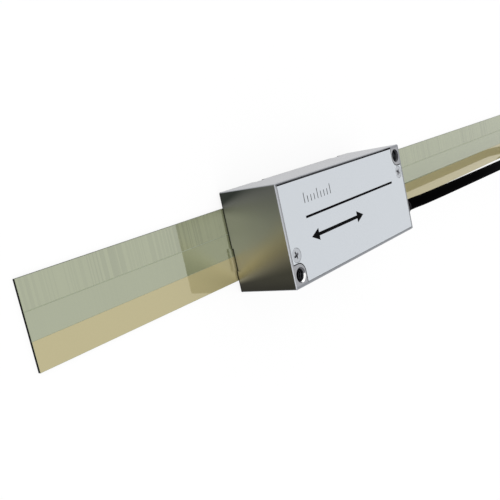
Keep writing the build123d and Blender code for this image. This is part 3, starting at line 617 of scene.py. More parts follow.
    def _mouth(self, sheet: NodeSheet, place: object, normal: object, hole: tuple[float, float]) -> tuple:
        """Find the slanting face round a hole, and its part that looks to the left and up, which gets the painted
        highlight.

        Args:
            sheet: The material's nodes.
            place: The Object coordinates, split.
            normal: The true normal, split.
            hole: X and Y of the hole's middle.

        Returns:
            The share of a point that lies on the slanting face, and the share of it that gets the painted
            highlight.
        """
        x, y = (sheet.maths("SUBTRACT", place[axis], at) for axis, at in zip("XY", hole))
        squares = (sheet.maths("MULTIPLY", part, part) for part in (x, y))
        distance = sheet.maths("SQRT", sheet.maths("ADD", *squares))
        near = sheet.ramp(distance, self.mouth_r, self.mouth_r * self.MOUTH_FADE, 1.0, 0.0)
        slant = sheet.maths("MULTIPLY", *(sheet.ramp(normal["Z"], *part) for part in self.MOUTH_FACES))
        lean = sheet.maths("SUBTRACT", normal["Y"], normal["X"])
        return sheet.maths("MULTIPLY", near, slant), sheet.ramp(lean, *self.MOUTH_HIGHLIGHT)


@dataclass(frozen=True)
class PaintedPlate(Finish):
    """A painted plate whose cut sides are coloured dark, as painted shade in the seam round it.

    Attributes:
        sides: Colour of the cut sides, a painted shade for the seam.
        LOOKS_UP: Z of the normal where the painted face starts and where it is full.
    """

    LOOKS_UP = (0.5, 0.8)

    sides: Colour = (0.045, 0.048, 0.055)

    def tint(self, sheet: NodeSheet) -> object:
        """Colour by whether the surface looks up; the sides get the painted seam shade.

        Args:
            sheet: The material's nodes.

        Returns:
            The colour before grain, wear and dust.
        """
        normal = sheet.add("NewGeometry").outputs["True Normal"]
        upward = sheet.add("SeparateXYZ", Vector=normal).outputs["Z"]
        return sheet.blend(sheet.ramp(upward, *self.LOOKS_UP), self.sides, self.colour)


@dataclass(frozen=True)
class ScrewSteel(Finish):
    """Bright steel of a screw whose recess is coloured dark, as painted shade in the recess.

    Attributes:
        crown: Z of the head's top.
        recess: Painted shade colour of the recess.
        fade: Depth over which the painted shade in the recess darkens.
    """

    crown: float = 0.0
    recess: Colour = (0.13, 0.13, 0.14)
    fade: tuple[float, float] = (0.02 * MM, 0.12 * MM)

    def tint(self, sheet: NodeSheet) -> object:
        """Colour by the depth below the top, darker as painted shade in the recess.

        Args:
            sheet: The material's nodes.

        Returns:
            The colour before grain, wear and dust.
        """
        height = sheet.add("SeparateXYZ", Vector=sheet.place()).outputs["Z"]
        depth = sheet.maths("SUBTRACT", self.crown, height)
        return sheet.blend(sheet.ramp(depth, *self.fade), self.colour, self.recess)


@dataclass(frozen=True)
class WornJacket(Finish):
    """A lead's jacket: clean and black near the head, duller where it is coiled up and handled.

    Attributes:
        handled: Colour of the handled part.
        span: X where it starts to dull and where it is full.
    """

    handled: Colour = (0.011, 0.011, 0.012)
    span: tuple[float, float] = (-25.0 * MM, 35.0 * MM)

    def tint(self, sheet: NodeSheet) -> object:
        """Colour by the place along the lead."""
        x = sheet.add("SeparateXYZ", Vector=sheet.place()).outputs["X"]
        return sheet.blend(sheet.ramp(x, *self.span), self.colour, self.handled)


@dataclass(frozen=True)
class TrackLayer(Finish):
    """A thin mirror layer on glass, with code lines across it where the track has them.

    Attributes:
        pitch: Width of one code line, or 0 for a blank layer.
        contrast: How much darker a line is.
        tone: Colour of what the layer mirrors.
        WIDTHS: Widths of the fine and the broad lines, in pitches.
        SHARES: Shares of the contrast that they have.
        CHANCE: Chance above which a line is dark.
        STRETCHES: Scale and detail of the noise that makes some stretches plainer.
        PLAIN: Noise value of the plainest and of the richest stretches, with their shares of the contrast.
        DARK: What the colour of a line at full contrast is multiplied by.
    """

    WIDTHS = (1.0, 2.3)
    SHARES = (0.8, 0.2)
    CHANCE = 0.5
    STRETCHES = (70.0, 1.0)
    PLAIN = (0.4, 0.6, 0.45, 1.0)
    DARK = 0.55

    pitch: float = 0.0
    contrast: float = 0.0
    tone: Colour = (1.0, 1.0, 1.0)

    def tint(self, sheet: NodeSheet) -> object:
        """Darken each code line that a random number picks, more in some stretches of the track than in others.

        Args:
            sheet: The material's nodes.

        Returns:
            The colour before grain, wear and dust.
        """
        if not self.pitch:
            return self.colour
        x = sheet.add("SeparateXYZ", Vector=sheet.place()).outputs["X"]
        lines = []
        for width, share in zip(self.WIDTHS, self.SHARES):
            count = sheet.maths("FLOOR", sheet.maths("DIVIDE", x, self.pitch * width))
            chance = sheet.add("TexWhiteNoise", {"noise_dimensions": "1D"}, W=count).outputs["Value"]
            lines.append(sheet.maths("MULTIPLY", sheet.maths("GREATER_THAN", chance, self.CHANCE), share))
        scale, detail = self.STRETCHES
        stretch = sheet.add("TexNoise", {"noise_dimensions": "1D"}, W=x, Scale=scale, Detail=detail).outputs[0]
        depth = sheet.maths("MULTIPLY", sheet.maths("ADD", *lines), sheet.ramp(stretch, *self.PLAIN))
        depth = sheet.maths("MULTIPLY", depth, self.contrast)
        dark = tuple(self.DARK * part for part in self.colour)
        return sheet.blend(depth, self.colour, dark)

    def dress(self, sheet: NodeSheet, shader: bpy.types.Node) -> None:
        """Tone the mirror image."""
        shader.inputs["Specular Tint"].default_value = (*self.tone, 1.0)


@dataclass(frozen=True)
class EdgeGlass(Finish):
    """Bonded glass: cut edges coloured black as painted shade for how dark glass edges look, and the layer's tone
    where its face shows between the tracks.

    Attributes:
        face: Colour of the face between the tracks.
        LOOKS_UP: Z of the normal where the face starts and where it is full.
    """

    LOOKS_UP = (0.7, 0.9)

    face: Colour = (0.12, 0.13, 0.1)

    def tint(self, sheet: NodeSheet) -> object:
        """Colour by whether the surface looks up; the cut edges get the painted black shade.

        Args:
            sheet: The material's nodes.

        Returns:
            The colour before grain, wear and dust.
        """
        normal = sheet.add("NewGeometry").outputs["True Normal"]
        upward = sheet.add("SeparateXYZ", Vector=normal).outputs["Z"]
        return sheet.blend(sheet.ramp(upward, *self.LOOKS_UP), self.colour, self.face)


@dataclass(frozen=True)
class OpticalGlass(Finish):
    """Clear glass of a window, a lens or a grating plate."""

    def dress(self, sheet: NodeSheet, shader: bpy.types.Node) -> None:
        """Let the light through."""
        shader.inputs["Transmission Weight"].default_value = 1.0


@dataclass(frozen=True)
class CoreColours(Finish):
    """Insulation whose colour changes from one core to the next by its angle in the bundle.

    Attributes:
        centre: Y and Z of the bundle's middle.
        cores: Number of cores round it.
        hue_step: Step of the hue from one core to the next.
        saturation: Saturation of every core's colour.
        brightness: Its brightness.
    """

    centre: tuple[float, float] = (0.0, 0.0)
    cores: int = 8
    hue_step: float = 0.37
    saturation: float = 0.75
    brightness: float = 0.6

    def tint(self, sheet: NodeSheet) -> object:
        """Pick a hue by the angle round the bundle's middle.

        Args:
            sheet: The material's nodes.

        Returns:
            The colour before grain, wear and dust.
        """
        place = sheet.add("SeparateXYZ", Vector=sheet.place())
        y = sheet.maths("SUBTRACT", place.outputs["Y"], self.centre[0])
        z = sheet.maths("SUBTRACT", place.outputs["Z"], self.centre[1])
        turn = sheet.maths("DIVIDE", sheet.maths("ARCTAN2", z, y), 2 * pi / self.cores)
        step = sheet.maths("ROUND", turn)
        hue = sheet.maths("FRACT", sheet.maths("MULTIPLY", step, self.hue_step))
        return sheet.add("CombineColor", {"mode": "HSV"}, Red=hue, Green=self.saturation,
                         Blue=self.brightness).outputs[0]


# Surfaces worked out on grids

SHARP = 32.0
WELD = 1e-7
CUT_LIMIT = 0.48


def grid_quads(rows: int, columns: int, close_rows: bool, close_columns: bool) -> np.ndarray:
    """Join a grid of points with quads.

    Args:
        rows: Number of rows.
        columns: Number of points in a row.
        close_rows: Whether the last row joins the first.
        close_columns: Whether the last column joins the first.

    Returns:
        An array of four point numbers for each quad.
    """
    r = np.arange(rows if close_rows else rows - 1)[:, None]
    c = np.arange(columns if close_columns else columns - 1)[None, :]
    r2, c2 = (r + 1) % rows, (c + 1) % columns
    corners = [r * columns + c, r * columns + c2, r2 * columns + c2, r2 * columns + c]
    return np.stack([np.broadcast_to(k, (r.size, c.size)) for k in corners], -1).reshape(-1, 4)


def tidy_mesh(mesh: bpy.types.Mesh, sharp: float = SHARP) -> bpy.types.Mesh:
    """Merge doubles, point the faces outwards and shade smooth up to an angle.

    Args:
        mesh: The mesh to finish.
        sharp: Angle in degrees past which an edge stays sharp.

    Returns:
        The same mesh.
    """
    work = bmesh.new()
    work.from_mesh(mesh)
    bmesh.ops.remove_doubles(work, verts=work.verts, dist=WELD)
    bmesh.ops.recalc_face_normals(work, faces=work.faces)
    work.to_mesh(mesh)
    work.free()
    mesh.shade_smooth()
    mesh.set_sharp_from_angle(angle=radians(sharp))
    return mesh


def grid_mesh(name: str, points: np.ndarray, close_rows: bool = False, close_columns: bool = True,
              cap: bool = False, sharp: float = SHARP) -> bpy.types.Mesh:
    """Make a mesh from a grid of points.

    Args:
        name: The mesh's name.
        points: Array of rows by columns by three, in metres.
        close_rows: Whether the last row joins the first.
        close_columns: Whether the last column joins the first.
        cap: Whether the first and last rows are filled with a face.
        sharp: Angle in degrees past which an edge stays sharp.

    Returns:
        The finished mesh.
    """
    rows, columns, _ = points.shape
    faces = grid_quads(rows, columns, close_rows, close_columns).tolist()
    if cap:
        faces.append(list(range(columns))[::-1])
        faces.append(list(range((rows - 1) * columns, rows * columns)))
    mesh = bpy.data.meshes.new(name)
    mesh.from_pydata(points.reshape(-1, 3).tolist(), [], faces)
    return tidy_mesh(mesh, sharp)


def joined(name: str, meshes: list[bpy.types.Mesh], sharp: float = SHARP) -> bpy.types.Mesh:
    """Join separate closed shells into one mesh.

    Args:
        name: The mesh's name.
        meshes: The shells, which are used up.
        sharp: Angle in degrees past which an edge stays sharp.

    Returns:
        The joined mesh.
    """
    work = bmesh.new()
    for mesh in meshes:
        work.from_mesh(mesh)
        bpy.data.meshes.remove(mesh)
    whole = bpy.data.meshes.new(name)
    work.to_mesh(whole)
    work.free()
    whole.shade_smooth()
    whole.set_sharp_from_angle(angle=radians(sharp))
    return whole


def rounded_profile(corners: list[tuple[float, float, float]], steps: int = 4) -> np.ndarray:
    """Round the corners of an open profile.

    Each corner is cut back along both its sides by its rounding, limited to CUT_LIMIT of the shorter side, and
    the gap is filled by the quadratic curve from cut to cut with the corner as its middle control point.

    Args:
        corners: Points as (x, radius from the axis, rounding), from one end to the other.
        steps: Points on each rounding.

    Returns:
        Array of (x, radius) points.
    """
    at = np.array([c[:2] for c in corners], float)
    made = [at[0]]
    t = np.linspace(0, 1, steps)[:, None]
    for k in range(1, len(corners) - 1):
        back, on = at[k - 1] - at[k], at[k + 1] - at[k]
        reach = min(corners[k][2], CUT_LIMIT * np.linalg.norm(back), CUT_LIMIT * np.linalg.norm(on))
        a = at[k] + back / np.linalg.norm(back) * reach
        b = at[k] + on / np.linalg.norm(on) * reach
        made.append((1 - t) ** 2 * a + 2 * t * (1 - t) * at[k] + t**2 * b)
    made.append(at[-1])
    return np.vstack(made)


def turned(profile: np.ndarray, axis_y: float, axis_z: float, columns: int,
           relief: Callable[[np.ndarray, np.ndarray], np.ndarray] | None = None) -> np.ndarray:
    """Turn a profile about a line along X.

    A point at angle a lies at (x, y0 + r cos a, z0 + r sin a), and r is the profile's radius less the relief
    at that x and angle.

    Args:
        profile: Array of (x, radius) points.
        axis_y: Y of the axis.
        axis_z: Z of the axis.
        columns: Points round the axis.
        relief: Depth cut into the surface, as a function of x and the angle.

    Returns:
        Array of points, rows along the profile and columns round the axis.
    """
    angle = 2 * pi * np.arange(columns)[None, :] / columns
    x = np.repeat(profile[:, :1], columns, 1)
    r = np.repeat(profile[:, 1:], columns, 1)
    if relief is not None:
        r = r - relief(x, np.repeat(angle, len(profile), 0))
    return np.stack([x, axis_y + r * np.cos(angle), axis_z + r * np.sin(angle)], -1)


def step_window(x: np.ndarray, low: float, high: float, ease: float) -> np.ndarray:
    """Rise from 0 to 1 over ease past low and fall back to 0 over ease before high, as smooth cubic steps.

    Args:
        x: Places to look at.
        low: Where the rise starts.
        high: Where the fall ends.
        ease: Length of each step.

    Returns:
        The share at each place.
    """
    up = np.clip((x - low) / ease, 0, 1)
    down = np.clip((high - x) / ease, 0, 1)
    return (3 * up**2 - 2 * up**3) * (3 * down**2 - 2 * down**3)


def rounded_block(name: str, low: np.ndarray, high: np.ndarray, corner: float, edge: float,
                  columns: int = 48, rows: int = 5) -> bpy.types.Mesh:
    """Make a block with round upright corners and eased upper and lower edges.

    Its outline is the box less the corner radius, offset outwards by that radius. Towards each end, a row at
    edge (1 - cos b) from the end is drawn in by edge (1 - sin b), for b from 0 to a right angle.

    Args:
        name: The mesh's name.
        low: Lowest corner.
        high: Highest corner.
        corner: Radius of the upright corners.
        edge: Radius of the upper and lower edges.
        columns: Points round the outline.
        rows: Rows on each eased edge.

    Returns:
        The closed mesh.
    """
    middle, half = (low + high) / 2, (high - low) / 2
    angle = 2 * pi * (np.arange(columns) + 0.5) / columns
    way = np.stack([np.cos(angle), np.sin(angle)], -1)
    core = np.sign(way) * (half[:2] - corner)
    bend = np.linspace(0, pi / 2, rows)
    inset = edge * (1 - np.sin(bend))
    rise = edge * (1 - np.cos(bend))
    levels = [(-half[2] + up, cut) for up, cut in zip(rise, inset)]
    levels += [(half[2] - up, cut) for up, cut in zip(rise[::-1], inset[::-1])]
    points = []
    for z, cut in levels:
        flat = middle[:2] + core + way * (corner - cut)
        points.append(np.column_stack([flat, np.full(columns, middle[2] + z)]))
    return grid_mesh(name, np.array(points), cap=True)


def plate(name: str, outlines: list[np.ndarray], low: float, high: float) -> bpy.types.Mesh:
    """Make thin plates from flat outlines.

    Args:
        name: The mesh's name.
        outlines: Arrays of (x, y) points, each one plate's outline.
        low: Z of the underside.
        high: Z of the top.

    Returns:
        One mesh with a closed shell for each outline.
    """
    shells = []
    for k, outline in enumerate(outlines):
        rings = [np.column_stack([outline, np.full(len(outline), z)]) for z in (low, high)]
        shells.append(grid_mesh(f"{name}_{k}", np.array(rings), cap=True))
    return joined(name, shells)


# Finishes of this object

LAYER_GREEN = (0.272, 0.293, 0.170)
CODE_GREEN = (0.286, 0.307, 0.182)
LAYER_YELLOW = (0.452, 0.402, 0.213)

CODE_LAYER = TrackLayer("code_layer", CODE_GREEN, 0.035, ior=2.6, shade=0.02, spread=0.01, edge=0.004 * MM,
                        pitch=0.25 * MM, contrast=0.42, tone=(0.95, 1.0, 0.93))
PHASE_LAYER = TrackLayer("incremental_layer", LAYER_GREEN, 0.03, ior=2.6, shade=0.015, spread=0.01,
                         edge=0.004 * MM, pitch=0.11 * MM, contrast=0.07, tone=(0.95, 1.0, 0.95))
STRAW_LAYER = TrackLayer("reference_layer", LAYER_YELLOW, 0.03, ior=2.0, shade=0.015, spread=0.01,
                         edge=0.004 * MM, tone=(1.0, 0.95, 0.78))
# The glass strip's cut edges are coloured black, painted shade for how dark glass edges look.
CUT_GLASS = EdgeGlass("cut_glass", (0.001, 0.001, 0.001), 0.4, specular=0.02, shade=0.1, edge=0.03 * MM,
                      face=(0.35, 0.385, 0.28))
BOND_FILM = Finish("bond_film", (0.002, 0.002, 0.002), 0.6, specular=0.03, shade=0.15, edge=0.01 * MM)
# The housing's colour carries painted reflections on its end faces, painted shade on the rim, the seam and the
# holes' mouths, painted highlights in those mouths and a painted shadow at the glass.
HOUSING = MilledHousing("milled_housing", (0.385, 0.395, 0.42), 0.30, 1.0, grain=0.22 * MM,
                        stretch=(0.12, 1.0, 1.0), shade=0.05, spread=0.05, relief=0.001 * MM, edge=0.12 * MM,
                        bare=(0.47, 0.48, 0.50), wear=0.1, dust=0.04)
# The cover's cut sides are coloured dark, painted shade in the seam round the cover.
COVER_PAINT = PaintedPlate("cover_paint", (0.585, 0.62, 0.66), 0.42, grain=0.12 * MM, shade=0.025, spread=0.05,
                           relief=0.0006 * MM, edge=0.05 * MM, bare=(0.7, 0.7, 0.7), wear=0.3, dust=0.03)
COVER_INK = Finish("cover_ink", (0.0015, 0.0015, 0.002), 0.7, specular=0.03, grain=0.1 * MM, shade=0.1,
                   edge=0.01 * MM)
STAINLESS = Finish("stainless", (0.48, 0.50, 0.53), 0.32, 1.0, grain=0.12 * MM, shade=0.06, spread=0.08,
                   edge=0.05 * MM, bare=(0.75, 0.75, 0.75), wear=0.5)
THREAD_METAL = Finish("thread_metal", (0.05, 0.052, 0.058), 0.36, 1.0, grain=0.1 * MM, edge=0.02 * MM)
SEAL_RUBBER = Finish("seal_rubber", (0.004, 0.004, 0.0045), 0.6, specular=0.06, grain=0.2 * MM, shade=0.15,
                     spread=0.08, relief=0.004 * MM, bare=(0.02, 0.02, 0.02), wear=0.2, dust=0.02)
JACKET = WornJacket("cable_jacket", (0.0006, 0.0006, 0.0007), 0.7, specular=0.003, grain=0.3 * MM, shade=0.2,
                    spread=0.07, relief=0.003 * MM)
NYLON = Finish("black_nylon", (0.010, 0.010, 0.011), 0.45, specular=0.2, grain=0.15 * MM, shade=0.12,
               spread=0.08, relief=0.003 * MM, edge=0.12 * MM, bare=(0.045, 0.045, 0.047), wear=0.5, dust=0.03)
NICKEL = Finish("nickel_plate", (0.44, 0.42, 0.38), 0.2, 1.0, grain=0.3 * MM, shade=0.05, spread=0.08,
                relief=0.001 * MM, edge=0.1 * MM, bare=(0.62, 0.5, 0.32), wear=0.35, dust=0.03)
GOLD = Finish("contact_gold", (0.86, 0.62, 0.26), 0.16, 1.0, grain=0.2 * MM, shade=0.04, edge=0.03 * MM)
MOULDED_BLACK = Finish("moulded_black", (0.014, 0.014, 0.015), 0.5, grain=0.18 * MM, shade=0.1,
                       relief=0.003 * MM, dust=0.03)
BOARD_GREEN = Finish("solder_mask", (0.012, 0.11, 0.045), 0.3, coat=0.4, grain=0.4 * MM, shade=0.18)
LAMP_RESIN = Finish("lamp_resin", (0.72, 0.68, 0.55), 0.2, coat=0.5, shade=0.04)
FLEX_AMBER = Finish("flex_amber", (0.38, 0.15, 0.02), 0.25, coat=0.3, shade=0.1)
CLEAR_GLASS = OpticalGlass("clear_glass", (0.88, 0.95, 0.92), 0.03, ior=1.52, shade=0.01, spread=0.005)


class Workshop:
    """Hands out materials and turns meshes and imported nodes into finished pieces."""

    def __init__(self) -> None:
        """Start with the shared effects and no materials."""
        self.effects = SharedEffects()
        self.made: dict[Finish, bpy.types.Material] = {}

    def material(self, finish: Finish) -> bpy.types.Material:
        """Return the finish's material, built on first use.

        Args:
            finish: The finish.

        Returns:
            Its material.
        """
        if finish not in self.made:
            self.made[finish] = finish.material(self.effects)
        return self.made[finish]

    def piece(self, name: str, data: bpy.types.Mesh | bpy.types.Curve, body: Body, slot: str, finish: Finish,
              replaces: tuple[str, ...] = ()) -> bpy.types.Object:
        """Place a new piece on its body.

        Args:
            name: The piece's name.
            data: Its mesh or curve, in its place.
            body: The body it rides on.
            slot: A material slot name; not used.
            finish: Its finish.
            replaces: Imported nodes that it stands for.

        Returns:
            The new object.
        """
        made = bpy.data.objects.new(name, data)
        bpy.context.scene.collection.objects.link(made)
        data.materials.clear()
        data.materials.append(self.material(finish))
        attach(made, body.value)
        if replaces:
            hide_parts(*replaces)
        stands = f", stands for {', '.join(replaces)}" if replaces else ""
        log.info("%s rides on %s, %s%s", name, body.value, finish.name, stands)
        return made

    def dress(self, finish: Finish, *nodes: str) -> None:
        """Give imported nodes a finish.

        Args:
            finish: The finish.
            nodes: Names of the nodes.
        """
        for node in nodes:
            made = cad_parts[node]
            made.data.materials.clear()
            made.data.materials.append(self.material(finish))
            log.info("%s keeps its shape, %s", node, finish.name)


def middle_of(node: str) -> Vector:
    """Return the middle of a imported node's box."""
    low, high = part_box(node)
    return (low + high) / 2


# Glass scale


@dataclass
class GlassScale:
    """The bonded glass strip and its three tracks."""

    workshop: Workshop

    def build(self) -> None:
        """Dress the strip: cut edges coloured black as painted shade, two green-grey tracks and a straw-yellow
        one.
        """
        self.workshop.dress(BOND_FILM, "adhesive_film")
        self.workshop.dress(CUT_GLASS, "glass_strip")
        self.workshop.dress(STRAW_LAYER, "reference_band")
        self.workshop.dress(PHASE_LAYER, "incremental_track")
        self.workshop.dress(CODE_LAYER, "absolute_track")


# Scanning head


@dataclass
class CoverPrint:
    """What is printed on the cover: a rule, a row of plain ticks, and an arrow for the measuring direction.

    Places are measured from the head's lower left corner.

    Attributes:
        rule: X of the rule's ends, and its Y.
        tick_start: X and Y of the first tick's lower left corner.
        tick_group: Every how many ticks a long one stands.
        arrow: X of the arrow's tips, and its Y.
        arrow_half: Half width of the arrow's heads.
        lift: Height of its underside over the cover's top.
    """

    rule: tuple[float, float, float] = (7.8 * MM, 44.25 * MM, 12.65 * MM)
    rule_w: float = 0.5 * MM
    tick_start: tuple[float, float] = (8.3 * MM, 15.35 * MM)
    tick_pitch: float = 1.2 * MM
    tick_count: int = 9
    tick_w: float = 0.2 * MM
    tick_l: float = 1.3 * MM
    tick_long: float = 2.1 * MM
    tick_group: int = 4
    arrow: tuple[float, float, float] = (8.4 * MM, 29.0 * MM, 8.45 * MM)
    arrow_w: float = 0.7 * MM
    arrow_head: float = 2.7 * MM
    arrow_half: float = 1.25 * MM
    ink_t: float = 0.01 * MM
    lift: float = -0.0088 * MM

    @staticmethod
    def bar(x0: float, x1: float, y0: float, y1: float) -> np.ndarray:
        """Return a rectangle's outline.

        Args:
            x0: Its least X.
            x1: Its greatest X.
            y0: Its least Y.
            y1: Its greatest Y.

        Returns:
            Its corners.
        """
        return np.array([(x0, y0), (x1, y0), (x1, y1), (x0, y1)])

    def outlines(self) -> list[np.ndarray]:
        """Return the outline of every printed mark.

        Returns:
            An array of (x, y) points for each mark.
        """
        x0, x1, y = self.rule
        made = [self.bar(x0, x1, y - self.rule_w / 2, y + self.rule_w / 2)]
        for k in range(self.tick_count):
            x, y = self.tick_start[0] + k * self.tick_pitch, self.tick_start[1]
            length = self.tick_l if k % self.tick_group else self.tick_long
            made.append(self.bar(x, x + self.tick_w, y, y + length))
        x0, x1, y = self.arrow
        w, head, half = self.arrow_w / 2, self.arrow_head, self.arrow_half
        side = [(x0, 0), (x0 + head, half), (x0 + head, w), (x1 - head, w), (x1 - head, half), (x1, 0)]
        upper = np.array(side)
        lower = upper[-2:0:-1] * (1, -1)
        made.append(np.vstack([upper, lower])[::-1] + (0, y))
        return made

    def mesh(self, corner: Vector) -> bpy.types.Mesh:
        """Return the print as thin plates on the cover.

        Args:
            corner: The head's lower left corner, at the height of the cover's top.

        Returns:
            The closed mesh.
        """
        marks = [outline + (corner.x, corner.y) for outline in self.outlines()]
        return plate("cover_print", marks, corner.z + self.lift, corner.z + self.lift + self.ink_t)


@dataclass
class CountersunkScrew:
    """A countersunk screw with a cross recess, along Z.

    Attributes:
        rim: Width of the eased edge round the head.
        arm_w: Half width of an arm where its sides are halfway down.
        slope: Width of an arm's sloping sides.
        end_slopes: Length of an arm's sloping end, in slopes.
        fall: Share of the depth that an arm loses up to its end.
        tip: Radius of the tip, as a share of the shank's.
    """

    head_r: float = 1.45 * MM
    head_h: float = 0.8 * MM
    shank_r: float = 0.8 * MM
    length: float = 4.5 * MM
    rim: float = 0.1 * MM
    arm_l: float = 0.92 * MM
    arm_w: float = 0.2 * MM
    slope: float = 0.16 * MM
    end_slopes: float = 3.0
    fall: float = 0.45
    depth: float = 0.45 * MM
    tip: float = 0.7
    columns: int = 96
    rings: int = 26

    def mesh(self, name: str, x: float, y: float, top: float, turn: float) -> bpy.types.Mesh:
        """Make the screw.

        At a point (u, v) of the head, the recess is as deep as the deeper of two crossed arms. An arm falls in
        line over the slope at its sides and over several slopes at its end, and gets shallower towards its end.

        Args:
            name: The mesh's name.
            x: X of the axis.
            y: Y of the axis.
            top: Z of the head's top.
            turn: Angle of the recess.

        Returns:
            The closed mesh.
        """
        angle = 2 * pi * np.arange(self.columns)[None, :] / self.columns
        r = (self.head_r - self.rim) * np.linspace(0, 1, self.rings)[:, None]
        u, v = r * np.cos(angle - turn), r * np.sin(angle - turn)
        across = [self._arm(u, v), self._arm(v, u)]
        crown = top - self.depth * np.maximum(*across)
        below = np.array([(self.head_r, -self.rim), (self.shank_r, -self.head_h),
                          (self.shank_r, self.rim - self.length), (self.shank_r * self.tip, -self.length),
                          (0, -self.length)])
        radii = np.vstack([r, below[:, :1]]) + 0 * angle
        heights = np.vstack([crown, top + below[:, 1:] + 0 * angle])
        points = np.stack([x + radii * np.cos(angle), y + radii * np.sin(angle), heights], -1)
        return grid_mesh(name, points)

    def _arm(self, along: np.ndarray, across: np.ndarray) -> np.ndarray:
        """Share of the depth that one arm cuts at each point.

        Args:
            along: Distance from the middle along the arm.
            across: Distance across it.

        Returns:
            The share.
        """
        side = np.clip((self.arm_w + self.slope / 2 - np.abs(across)) / self.slope, 0, 1)
        end = np.clip((self.arm_l - np.abs(along)) / (self.end_slopes * self.slope), 0, 1)
        return side * end * (1 - self.fall * np.clip(np.abs(along) / self.arm_l, 0, 1))


@dataclass
class InnerThread:
    """A fastening thread: a thin sleeve in its core hole, with a helical crest on its inner side.

    Attributes:
        core_r: Outer radius of the sleeve, in its core hole.
        skin: Thickness of the sleeve beside the crest.
        rows_per_turn: Rows for each turn of the thread.
    """

    core_r: float = 1.249 * MM
    crest: float = 0.16 * MM
    pitch: float = 0.5 * MM
    skin: float = 0.02 * MM
    sharp: float = 50.0
    columns: int = 40
    rows_per_turn: int = 8

    def mesh(self, name: str, x: float, y: float, low: float, high: float) -> bpy.types.Mesh:
        """Make the sleeve.

        Its inner radius is the core radius less the skin and less the crest times 1 - |2 f - 1|, where f is
        the fractional part of height over pitch less the angle in turns. The crest fades out at both ends.

        Args:
            name: The mesh's name.
            x: X of the axis.
            y: Y of the axis.
            low: Z of the lower end.
            high: Z of the upper end.

        Returns:
            The closed mesh.
        """
        rows = int((high - low) / self.pitch * self.rows_per_turn)
        z = np.linspace(high, low, rows)[:, None]
        angle = 2 * pi * np.arange(self.columns)[None, :] / self.columns
        f = (z / self.pitch - angle / (2 * pi)) % 1.0
        crest = self.crest * (1 - np.abs(2 * f - 1)) * step_window(z, low, high, self.pitch)
        inner = self.core_r - self.skin - crest
        outer = np.full((2, self.columns), self.core_r)
        radii = np.vstack([inner, outer])
        heights = np.vstack([z, [[low], [high]]]) + 0 * angle
        points = np.stack([x + radii * np.cos(angle), y + radii * np.sin(angle), heights], -1)
        return grid_mesh(name, points, close_rows=True, sharp=self.sharp)


@dataclass
class ScanningHead:
    """Housing, cover, seal, their fasteners and the print.

    Attributes:
        fix_at: X and Y of the first fastening hole from the head's corner; the other one mirrors it.
        screw_at: The same of the cover's screws.
        mouth: Distance of the threads from both ends of their holes.
        screw_turns: Angles of the screws' recesses.
        shade_in: How far inside the strip's lower and upper side the dark edges of the end faces' painted
            reflection start.
    """

    workshop: Workshop
    fix_at: tuple[float, float] = (2.3 * MM, 2.45 * MM)
    screw_at: tuple[float, float] = (2.25 * MM, 6.4 * MM)
    mouth: float = 0.32 * MM
    screw_turns: tuple[float, float] = (0.35, 1.1)
    shade_in: tuple[float, float] = (0.15 * MM, 0.3 * MM)

    def both(self, place: tuple[float, float]) -> list[tuple[float, float]]:
        """Return a place on the head and its diagonal twin, in the frame.

        Args:
            place: X and Y from the head's lower left corner.

        Returns:
            X and Y of both in the frame.
        """
        low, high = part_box("head_housing")
        return [(low.x + place[0], low.y + place[1]), (high.x - place[0], high.y - place[1])]

    def build(self) -> None:
        """Dress the housing and its cover, and make the print, the screws and the threads."""
        low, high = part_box("head_housing")
        scale_low, scale_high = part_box("glass_strip")
        # Line the end faces' painted reflection up with the glass strip, and the painted highlights with the
        # holes.
        bottom = (scale_low.y + self.shade_in[0], *HOUSING.bottom[1:])
        top = (scale_high.y - self.shade_in[1], *HOUSING.top[1:])
        finish = replace(HOUSING, low=tuple(low), high=tuple(high), bottom=bottom, top=top,
                         holes=tuple(self.both(self.fix_at)))
        self.workshop.dress(finish, "head_housing")
        self.workshop.dress(COVER_PAINT, "front_cover")
        self.workshop.dress(SEAL_RUBBER, "cover_gasket")
        corner = Vector((low.x, low.y, high.z))
        self.workshop.piece("cover_print", CoverPrint().mesh(corner), Body.HEAD, "cover", COVER_INK)
        screw = CountersunkScrew()
        heads = [screw.mesh(f"screw_{k}", x, y, high.z, turn)
                 for k, ((x, y), turn) in enumerate(zip(self.both(self.screw_at), self.screw_turns))]
        # The screws' recesses are coloured dark, painted shade in the recess.
        steel = ScrewSteel("screw_steel", STAINLESS.colour, STAINLESS.roughness, 1.0, crown=high.z)
        self.workshop.piece("cross_screws", joined("cross_screws", heads), Body.HEAD, "steel", steel,
                            ("cover_screws",))
        thread = InnerThread()
        sleeves = [thread.mesh(f"thread_{k}", x, y, low.z + self.mouth, high.z - self.mouth)
                   for k, (x, y) in enumerate(self.both(self.fix_at))]
        self.workshop.piece("fastening_threads", joined("fastening_threads", sleeves, thread.sharp),
                            Body.HEAD, "housing", THREAD_METAL)


@dataclass
class HeadInside:
    """The scanning optics and the electronics, closed in behind the cover."""

    workshop: Workshop

    def build(self) -> None:
        """Dress every inner piece."""
        dress = self.workshop.dress
        dress(CLEAR_GLASS, "scanning_window", "scanning_reticle", "condenser_lens")
        dress(MOULDED_BLACK, "optics_carrier", "photo_sensor", "signal_chip", "board_components",
              "board_socket")
        dress(LAMP_RESIN, "light_source")
        dress(BOARD_GREEN, "optics_board", "main_board")
        dress(STAINLESS, "optics_screws", "board_screws", "cable_clamp", "clamp_screw")
        dress(FLEX_AMBER, "flex_ribbon")
        dress(JACKET, "cable_entry")
        bundle = middle_of("lead_cores")
        cores = CoreColours("core_insulation", (0.5, 0.5, 0.5), 0.4, centre=(bundle.y, bundle.z))
        dress(cores, "lead_cores")


# Lead


